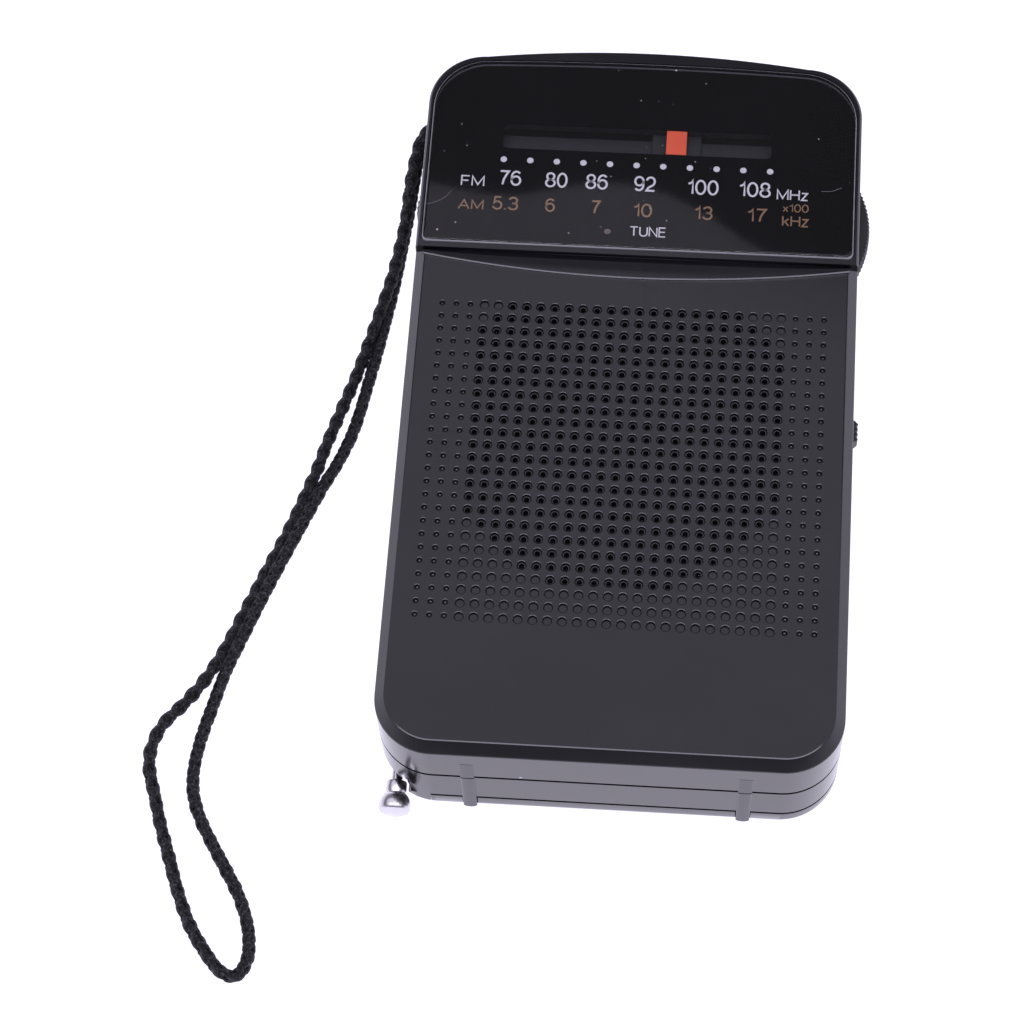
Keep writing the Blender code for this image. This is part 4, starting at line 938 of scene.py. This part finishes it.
# Plain upright letters, each a width and its strokes on a grid one unit high; a stroke is a list of points.
OVAL = bend(0.29, 0.5, 0.29, 0.5, 90, 450, 28)
GLYPHS = {
    "0": (0.58, [OVAL]),
    "1": (0.3, [[(0.0, 0.74), (0.14, 0.79), (0.25, 0.9), (0.28, 1.0), (0.28, 0.0)]]),
    "2": (0.56, [bend(0.28, 0.71, 0.27, 0.29, 170, 0, 12) + bend(0.17, 0.69, 0.38, 0.38, -10, -50, 4)
                 + [(0.14, 0.22), (0.02, 0.0), (0.56, 0.0)]]),
    "3": (0.56, [bend(0.28, 0.75, 0.25, 0.25, 165, -90, 14) + bend(0.28, 0.26, 0.28, 0.26, 90, -165, 16)]),
    "5": (0.56, [[(0.5, 1.0), (0.12, 1.0), (0.06, 0.5)] + bend(0.28, 0.32, 0.28, 0.32, 130, -160, 18)]),
    "6": (0.58, [bend(0.3, 0.62, 0.29, 0.38, 40, 180, 12) + bend(0.29, 0.32, 0.28, 0.32, 180, 540, 26)]),
    "7": (0.54, [[(0.0, 1.0), (0.54, 1.0), (0.36, 0.68), (0.24, 0.38), (0.18, 0.0)]]),
    "8": (0.58, [bend(0.29, 0.76, 0.24, 0.24, -90, 270, 22), bend(0.29, 0.26, 0.29, 0.26, 90, 450, 24)]),
    "9": (0.58, [bend(0.28, 0.38, 0.29, 0.38, 220, 360, 12) + bend(0.29, 0.68, 0.28, 0.32, 0, 360, 26)]),
    ".": (0.08, [[(0.04, -0.02), (0.04, 0.06)]]),
    "F": (0.52, [[(0.0, 0.0), (0.0, 1.0), (0.52, 1.0)], [(0.0, 0.52), (0.45, 0.52)]]),
    "M": (0.78, [[(0.0, 0.0), (0.0, 1.0), (0.39, 0.12), (0.78, 1.0), (0.78, 0.0)]]),
    "A": (0.74, [[(0.0, 0.0), (0.37, 1.0), (0.74, 0.0)], [(0.14, 0.34), (0.6, 0.34)]]),
    "T": (0.66, [[(0.0, 1.0), (0.66, 1.0)], [(0.33, 1.0), (0.33, 0.0)]]),
    "U": (0.64, [[(0.0, 1.0), *bend(0.32, 0.32, 0.32, 0.32, 180, 360, 12), (0.64, 1.0)]]),
    "N": (0.66, [[(0.0, 0.0), (0.0, 1.0), (0.66, 0.0), (0.66, 1.0)]]),
    "E": (0.54, [[(0.54, 1.0), (0.0, 1.0), (0.0, 0.0), (0.54, 0.0)], [(0.0, 0.52), (0.5, 0.52)]]),
    "H": (0.64, [[(0.0, 0.0), (0.0, 1.0)], [(0.64, 0.0), (0.64, 1.0)], [(0.0, 0.52), (0.64, 0.52)]]),
    "z": (0.42, [[(0.0, 0.72), (0.42, 0.72), (0.0, 0.0), (0.44, 0.0)]]),
    "k": (0.44, [[(0.0, 0.0), (0.0, 1.0)], [(0.42, 0.72), (0.0, 0.28)], [(0.16, 0.44), (0.44, 0.0)]]),
    "x": (0.44, [[(0.0, 0.0), (0.44, 0.66)], [(0.0, 0.66), (0.44, 0.0)]]),
}


def stroke_ribbon(points, half):
    """A flat strip with mitred joints along a stroke, as a low solid."""
    points = [Vector(p) for p in points]
    closed = (points[0] - points[-1]).length < 1e-4
    if closed:
        points = points[:-1]
    count = len(points)
    lefts, rights = [], []
    for i, point in enumerate(points):
        before = points[i - 1] if closed or i else None
        after = points[(i + 1) % count] if closed or i < count - 1 else None
        ahead = (after - point).normalized() if after is not None else (point - before).normalized()
        behind = (point - before).normalized() if before is not None else ahead
        normal = Vector((-(ahead + behind).y, (ahead + behind).x)).normalized()
        reach = half / max(normal.dot(Vector((-ahead.y, ahead.x))), 0.45)
        lefts.append(point + normal * reach)
        rights.append(point - normal * reach)
    bm = bmesh.new()
    rows = []
    for line, z in ((lefts, 0.02), (rights, 0.02), (rights, 0.0), (lefts, 0.0)):
        rows.append([bm.verts.new((p.x, p.y, z)) for p in line])
    last = count if closed else count - 1
    for i in range(last):
        j = (i + 1) % count
        for a, b in zip(rows, rows[1:] + rows[:1]):
            bm.faces.new((a[i], a[j], b[j], b[i]))
    if not closed:
        bm.faces.new([row[0] for row in rows])
        bm.faces.new([row[-1] for row in rows])
    return bm


def lettering(name, words, mat):
    """Flat raised print on the dial plate, as one mesh. words holds (text, x, y, height, width)."""
    parts = []
    for text, x, y, height, width in words:
        weight, space = 0.06 * height, 0.2
        natural = sum(GLYPHS[c][0] for c in text) + space * (len(text) - 1)
        squeeze = (width - 2 * weight) / natural
        tall = height - 2 * weight
        at = x - width / 2 + weight
        for c in text:
            wide, strokes = GLYPHS[c]
            for stroke in strokes:
                line = [(at + px * squeeze, y - height / 2 + weight + py * tall) for px, py in stroke]
                parts.append(moved(stroke_ribbon(line, weight), z=PRINT_Z - 0.01))
            at += (wide + space) * squeeze
    return new_piece(name, merged(*parts), mat, sharp=30)


def dial():
    holes = cut(prism(pointer_window(), 22, 24), cylinder(0.55, 22, 24, (LED_X, LED_Y), 32))
    plate = solid_of(prism(lens_outline(0.4), 22.55, 22.85), *holes)
    new_piece("dial_face", plate, "dial_print", sharp=30, replaces=["dial_plate"])
    white = (
        ("FM", -26.9, 36.5, 2.0, 3.8), ("76", -20.9, 37.3, 2.8, 3.6), ("80", -13.5, 37.3, 2.8, 3.6),
        ("86", -7.0, 37.3, 2.8, 3.6), ("92", 0.7, 37.3, 2.8, 3.5), ("100", 10.0, 37.1, 2.8, 5.0),
        ("108", 18.3, 37.1, 2.8, 5.1), ("MHz", 24.3, 36.4, 2.0, 5.0), ("TUNE", 1.6, 28.5, 1.83, 5.8),
    )
    bronze = (
        ("AM", -26.9, 32.1, 1.83, 4.1), ("5.3", -21.4, 32.6, 2.5, 4.2), ("6", -14.2, 32.6, 2.5, 1.6),
        ("7", -6.9, 32.6, 2.5, 1.5), ("10", 0.6, 32.4, 2.5, 3.0), ("13", 10.3, 32.4, 2.5, 2.9),
        ("17", 18.8, 32.4, 2.5, 3.1), ("x100", 24.9, 34.0, 1.5, 4.1), ("kHz", 24.9, 31.6, 2.0, 4.2),
    )
    lettering("scale_white", white, "print_white")
    lettering("scale_bronze", bronze, "print_bronze")
    dots = []
    first, last, count = (-22.2, 40.75), (20.6, 40.55), 11
    for i in range(count):
        share = i / (count - 1)
        x = first[0] + (last[0] - first[0]) * share
        y = first[1] + (last[1] - first[1]) * share
        dots.append(moved(cylinder(0.52, PRINT_Z - 0.015, PRINT_Z + 0.015), x, y))
    new_piece("scale_dots", merged(*dots), "print_white", sharp=30)


def lens():
    """The clear lens, a grey ring around it whose colour is a painted highlight for the glint of the polished
    edge, and two hairline scratches in its surface.
    """
    def rings(profile):
        return [[(x, y, z) for x, y in lens_outline(inset)] for inset, z in profile]

    profile = ((0.32, 23.1), (0.32, 24.46), (0.42, 24.55), (0.6, 24.59), (0.75, 24.6))
    new_piece("lens", loft(rings(profile)), "clear_lens", sharp=50, replaces=["dial_lens"])
    edge = ((0.15, 23.1), (0.15, 24.2), (0.19, 24.36), (0.31, 24.45), (0.31, 23.1))
    # The edge ring's light grey colour is a painted highlight, not a glint from the lights.
    new_piece("lens_edge_glint_and_scratch_grey", loft(rings(edge), closed=True), "lens_edge_glint_and_scratch_grey", sharp=50)
    left = ((-34.0, 30.8), (-32.6, 31.2), (-31.0, 32.2), (-30.0, 33.6))
    right = ((28.8, 36.3), (30.4, 36.4), (32.0, 37.1))
    hairs = [tube(smooth_route([(x, y, 24.595) for x, y in knots], 16), 0.018, 6) for knots in (left, right)]
    new_piece("lens_hairlines", merged(*hairs), "lens_edge_glint_and_scratch_grey", sharp=0)


def window_backing():
    """The strip behind the pointer's window, with its side walls, and the wall that hides the dial cord."""
    low, high = (-24.6, 42.2), (22.7, 47.2)
    strip = prism(rounded_rectangle(low, high, (1.0,) * 4), 19.4, 19.65)
    ends = [box((x, 42.6, 19.5), (x + 0.8, 46.8, DIAL_FLOOR[0] + 0.2)) for x in (low[0] - 1.0, high[0] + 0.2)]
    tabs = [box((x, 43.4, 19.4), (x + 1.4, 46.0, 19.65)) for x in (low[0] - 0.9, high[0] - 0.4)]
    curtain = box((-25.0, 48.9, 15.5), (22.5, 49.3, DIAL_FLOOR[0] + 0.2))
    backing = merged(solid_of(strip, *add(*ends, *tabs)), curtain)
    new_piece("window_backing", backing, "window_grey")


def dial_pointer():
    half_x, half_y = POINTER_SIZE[0] / 2, POINTER_SIZE[1] / 2
    carriage = box((POINTER_X - 4, SLOT_Y - 2.9, 19.8), (POINTER_X + 4, SLOT_Y + 3.5, 20.6), 0.15)
    flag = box((POINTER_X - half_x, SLOT_Y - half_y, 20.5),
               (POINTER_X + half_x, SLOT_Y + half_y, 22.75), 0.12)
    clip = box((POINTER_X - 1.5, SLOT_Y + 2.1, 17.1), (POINTER_X + 1.5, SLOT_Y + 3.3, 20.0), 0.12)
    new_piece("pointer_carriage", merged(carriage, clip), "window_grey", "dial_pointer",
              replaces=["dial_pointer"])
    new_piece("pointer_flag", flag, "pointer_orange", "dial_pointer")


# ---------------------------------------------------------------- wheels and switch


def wheels():
    """Both thumb wheels: a knurled rim, and on the tuning wheel the drum that drives the dial cord."""
    low, high = WHEEL_Z
    r, groove, teeth = WHEEL_RADIUS, CORD_RADIUS - 0.55, 138
    rim = [(1.8, low), (r - 0.45, low), (r - 0.1, low + 0.15, 0.5), (r, low + 0.4, 1.0), (r, high - 0.4, 1.0),
           (r - 0.1, high - 0.15, 0.5), (r - 0.45, high)]
    drum = [(groove, high), (groove, 18.8), (groove + 1, 18.8), (groove + 1, 19.3), (5.0, 19.3), (5.0, 18.0),
            (1.8, 18.0)]
    wheel = turned(rim + drum, teeth * 6, (WHEEL_X, WHEEL_Y), closed=True, waves=teeth, depth=0.45)
    new_piece("tuning_knurl", wheel, "black_satin", "tuning_wheel", sharp=40, replaces=["tuning_wheel"])

    r, top, teeth = VOLUME_RADIUS, 16.3, 56
    rim = [(1.8, low), (r - 0.5, low), (r - 0.12, low + 0.2, 0.5), (r, low + 0.45, 1.0), (r, top - 0.45, 1.0),
           (r - 0.12, top - 0.2, 0.5), (r - 0.5, top), (3.2, top), (3.2, 15.4), (1.8, 15.4)]
    wheel = turned(rim, teeth * 8, (VOLUME_X, VOLUME_Y), closed=True, waves=teeth, depth=0.36)
    new_piece("volume_knurl", wheel, "black_satin", "volume_wheel", sharp=40, replaces=["volume_wheel"])


def band_switch():
    half = SWITCH_KNOB / 2
    outline = [(33.2, SWITCH_Y - half), (35.3, SWITCH_Y - half)]
    ribs = 4
    for i in range(ribs):
        y = SWITCH_Y - half + 0.3 + i * (SWITCH_KNOB - 0.5) / ribs
        outline += [(35.55, y), (36.0, y + 0.2), (36.05, y + 0.45), (35.55, y + 0.7)]
    outline += [(35.3, SWITCH_Y + half), (33.2, SWITCH_Y + half)]
    grip = prism(outline, 13.75, 16.1)
    edges = [e for e in grip.edges if abs(e.verts[0].co.z - e.verts[1].co.z) < 0.01]
    bmesh.ops.bevel(grip, geom=edges, offset=0.12, segments=2, profile=0.5, affect="EDGES")
    stem = box((31.4, SWITCH_Y - 1.0, 14.2), (33.5, SWITCH_Y + 1.0, 15.6), 0.1)
    new_piece("switch_grip", merged(grip, stem), "black_satin", "band_switch_knob",
              replaces=["band_switch_knob"])


# ---------------------------------------------------------------- antenna


def along_antenna(profile):
    return moved(laid(turned(profile), "Y"), x=ANTENNA_X, z=ANTENNA_Z)


def antenna():
    bodies = ("antenna_base", "antenna_section_2", "antenna_section_3", "antenna_section_4")
    lip = 0.12
    for number, ((outer, inner, base, end), body) in enumerate(zip(SECTIONS, bodies), 1):
        profile = [
            (outer - 0.1, base), (outer, base - 0.1), (outer, end + 1.6), (outer - lip, end + 1.3),
            (outer - lip, end + 0.9), (outer, end + 0.6), (outer, end + 0.12), (outer - 0.1, end),
            (inner, end), (inner, base - 1.0),
        ]
        new_piece(f"tube_{number}", along_antenna(profile), "chrome", body, sharp=40,
                  replaces=[f"antenna_section_{number}"])
    rod = 0.85
    tip = [
        (rod, 37.6), (rod, -58.9), (1.3, -59.0), (1.55, -59.15), (1.6, -59.4), (1.6, -60.6), (1.5, -60.8),
        (1.45, -61.0), (1.75, -61.15), (2.2, -61.75), (2.4, -62.3), (2.45, -62.7), (2.45, -63.3),
        (2.38, -63.65), (2.2, -63.9), (1.8, -64.08), (1.2, -64.2), (0.6, -64.27), (0.1, -64.3),
    ]
    new_piece("tip_cap", along_antenna(tip), "chrome", "antenna_tip", sharp=40, replaces=["antenna_tip"])


# ---------------------------------------------------------------- inside


def coil_spring(x, y, length, wide, narrow, turns=2.6):
    """A conical wire spring lying along X, wide at its plate; a negative length points to -X."""
    steps = int(turns * 28)
    points = []
    for i in range(steps + 1):
        share = i / steps
        radius = wide + (narrow - wide) * share
        turn = math.tau * turns * share
        points.append((x + length * share, y + radius * math.cos(turn), CELL_Z + radius * math.sin(turn)))
    return tube(points, 0.25, 8)


def battery_contacts():
    left, right, low, high = -25.95, 28.7, 6.4, 12.4

    def leaf(x, y0, y1):
        return box((x, y0, low), (x + 0.4, y1, high), 0.08)

    def stud(profile, x, y):
        return moved(laid(turned(profile, 32), "X"), x=x, y=y, z=CELL_Z)

    first, second = CELL_YS
    bridge = merged(leaf(left, first - 5, second + 5), coil_spring(left + 0.62, first, 1.4, 3.3, 2.4),
                    stud([(2.6, 0), (2.4, 0.5), (1.8, 0.8), (0.5, 0.85)], left + 0.3, second))
    new_piece("bridge_leaf", bridge, "plated_steel", replaces=["battery_bridge_contact"])
    button = stud([(3.0, 0.0), (2.7, -0.7), (2.2, -1.3), (1.4, -1.5), (0.4, -1.52)], right - 0.3, first)
    plate = leaf(right - 0.4, first - 4.5, first + 4.5)
    new_piece("positive_leaf", merged(plate, button), "plated_steel", replaces=["battery_positive_contact"])
    plate = leaf(right - 0.4, second - 4.5, second + 4.5)
    spring = coil_spring(right - 0.62, second, -1.1, 3.3, 2.4, 2.2)
    new_piece("negative_leaf", merged(plate, spring), "plated_steel", replaces=["battery_negative_contact"])


def battery_cells():
    """Two cells laid head to tail, each a printed wrap round a steel can."""
    r, length = CELL_RADIUS, CELL_LENGTH
    full = length + 1.0
    wrap = [(r - 0.9, 0.02), (r - 0.25, 0.0), (r - 0.05, 0.12), (r, 0.4), (r, length - 0.4),
            (r - 0.05, length - 0.12), (r - 0.3, length), (r - 1.0, length - 0.02), (r - 1.0, length - 0.4),
            (r - 0.9, 0.4)]
    ends = [(3.2, 0.15), (3.2, 0.02), (r - 0.95, 0.1), (r - 0.95, length - 0.25), (4.0, length - 0.2),
            (3.2, length - 0.15), (2.75, length), (2.6, length + 0.3), (2.55, full - 0.15), (2.35, full)]
    for number, y in enumerate(CELL_YS, 1):
        for label, profile, mat in (("wrap", wrap, "cell_jacket"), ("can", ends, "plated_steel")):
            if number == 2:
                profile = [(radius, full - z) for radius, z in profile]
            bm = moved(laid(turned(profile, 56, closed=label == "wrap"), "X"), x=CELL_X, y=y, z=CELL_Z)
            new_piece(f"cell_{label}_{number}", bm, mat,
                      replaces=[f"battery_cell_{number}"] if label == "wrap" else ())


def speaker_parts():
    centre = (SPEAKER_X, SPEAKER_Y)
    under = [(7.0, 16.55), (11.0, 17.62), (11.3, 17.85), (11.8, 17.85), (15.0, 18.7), (15.3, 18.92),
             (15.8, 18.93), (20.6, 20.25), (21.2, 20.75), (21.9, 21.25), (22.6, 21.35), (23.2, 21.2),
             (23.8, 20.95), (24.6, 20.95)]
    over = [(24.6, 21.2), (23.8, 21.2), (23.2, 21.45), (22.6, 21.6), (21.8, 21.5), (20.9, 20.9), (15.5, 19.3),
            (11.5, 18.2), (7.0, 16.9)]
    cone = turned(under + over, 72, centre, closed=True)
    new_piece("cone_ribbed", cone, "speaker_paper", replaces=["speaker_cone"])
    cap = [(7.2, 17.25), (7.1, 17.45), (6.4, 18.15), (5.4, 18.7), (4.0, 19.17), (2.6, 19.45), (1.2, 19.57),
           (0.3, 19.59)]
    new_piece("cap_dome", turned(cap, 56, centre), "bare_aluminium", replaces=["speaker_dust_cap"])
    magnet = [(10.6, 8.6), (10.9, 8.75), (11.0, 9.0), (11.0, 11.9), (10.9, 12.15), (10.6, 12.3)]
    new_piece("magnet_ring", turned(magnet, 56, centre), "speaker_magnet", replaces=["speaker_magnet"])


def small_parts():
    """Pins, slots and rims on the parts of the board."""
    legs = []
    for i in range(9):
        x = -13.8 + i * 2.0
        for y0, y1 in ((25.2, 26.3), (31.9, 33.0)):
            legs.append(box((x - 0.25, y0, 7.05), (x + 0.25, y1, 8.4), 0.06, 1))
    new_piece("ic_legs", merged(*legs), "plated_steel")
    block = box((-15.0, 26.0, 7.25), (3.0, 32.2, 10.2), 0.25)
    notch = cylinder(0.9, 9.9, 11, (-15.0, 29.1), 24)
    new_piece("ic_block", solid_of(block, *cut(notch)), "ic_epoxy", replaces=["radio_ic"])
    for number, x in enumerate((-17.0, -7.5), 1):
        can = box((x - 3.5, 42.5, 7.25), (x + 3.5, 49.5, 13.0), 0.35)
        hole = cylinder(1.6, 12.6, 14, (x, 46.0), 32)
        shell = solid_of(can, *cut(hole))
        new_piece(f"if_shell_{number}", shell, "plated_steel", replaces=[f"if_can_{number}"])
        slit = box((x - 1.1, 45.8, 12.5), (x + 1.1, 46.2, 14))
        core = solid_of(cylinder(1.45, 12.0, 12.85, (x, 46.0), 32), *cut(slit))
        new_piece(f"if_core_{number}", core, "pointer_orange")
    profile = [(2.3, 7.25), (2.6, 7.4), (2.6, 7.9), (2.45, 8.15), (2.6, 8.4), (2.6, 12.7), (2.4, 12.95),
               (1.9, 13.0)]
    sleeve = turned(profile, 40, (-14.5, 37.2))
    new_piece("electrolytic_can", sleeve, "capacitor_sleeve", replaces=["electrolytic"])
    case_low, case_high = (WHEEL_X - 10, WHEEL_Y - 10, 7.25), (WHEEL_X + 10, WHEEL_Y + 10, 13.0)
    bore = cylinder(1.8, 11.0, 14.0, (WHEEL_X, WHEEL_Y), 32)
    gang = solid_of(box(case_low, case_high, 0.4), *cut(bore))
    new_piece("gang_case", gang, "white_nylon", replaces=["tuning_capacitor"])


def carried_over():
    """The CAD nodes that still show take the finish of their slot."""
    for part in frame["record"]["subparts"]:
        node = frame["nodes"][part["node"]]
        if not node.hide_render:
            node.data.materials.clear()
            node.data.materials.append(MATERIALS[part["material_slot"]])


camera()
MATERIALS = materials()
wrist_strap()
studio()
front_cabinet()
back_cabinet()
battery_door()
case_screws()
dial()
lens()
window_backing()
dial_pointer()
wheels()
band_switch()
antenna()
battery_contacts()
battery_cells()
speaker_parts()
small_parts()
carried_over()
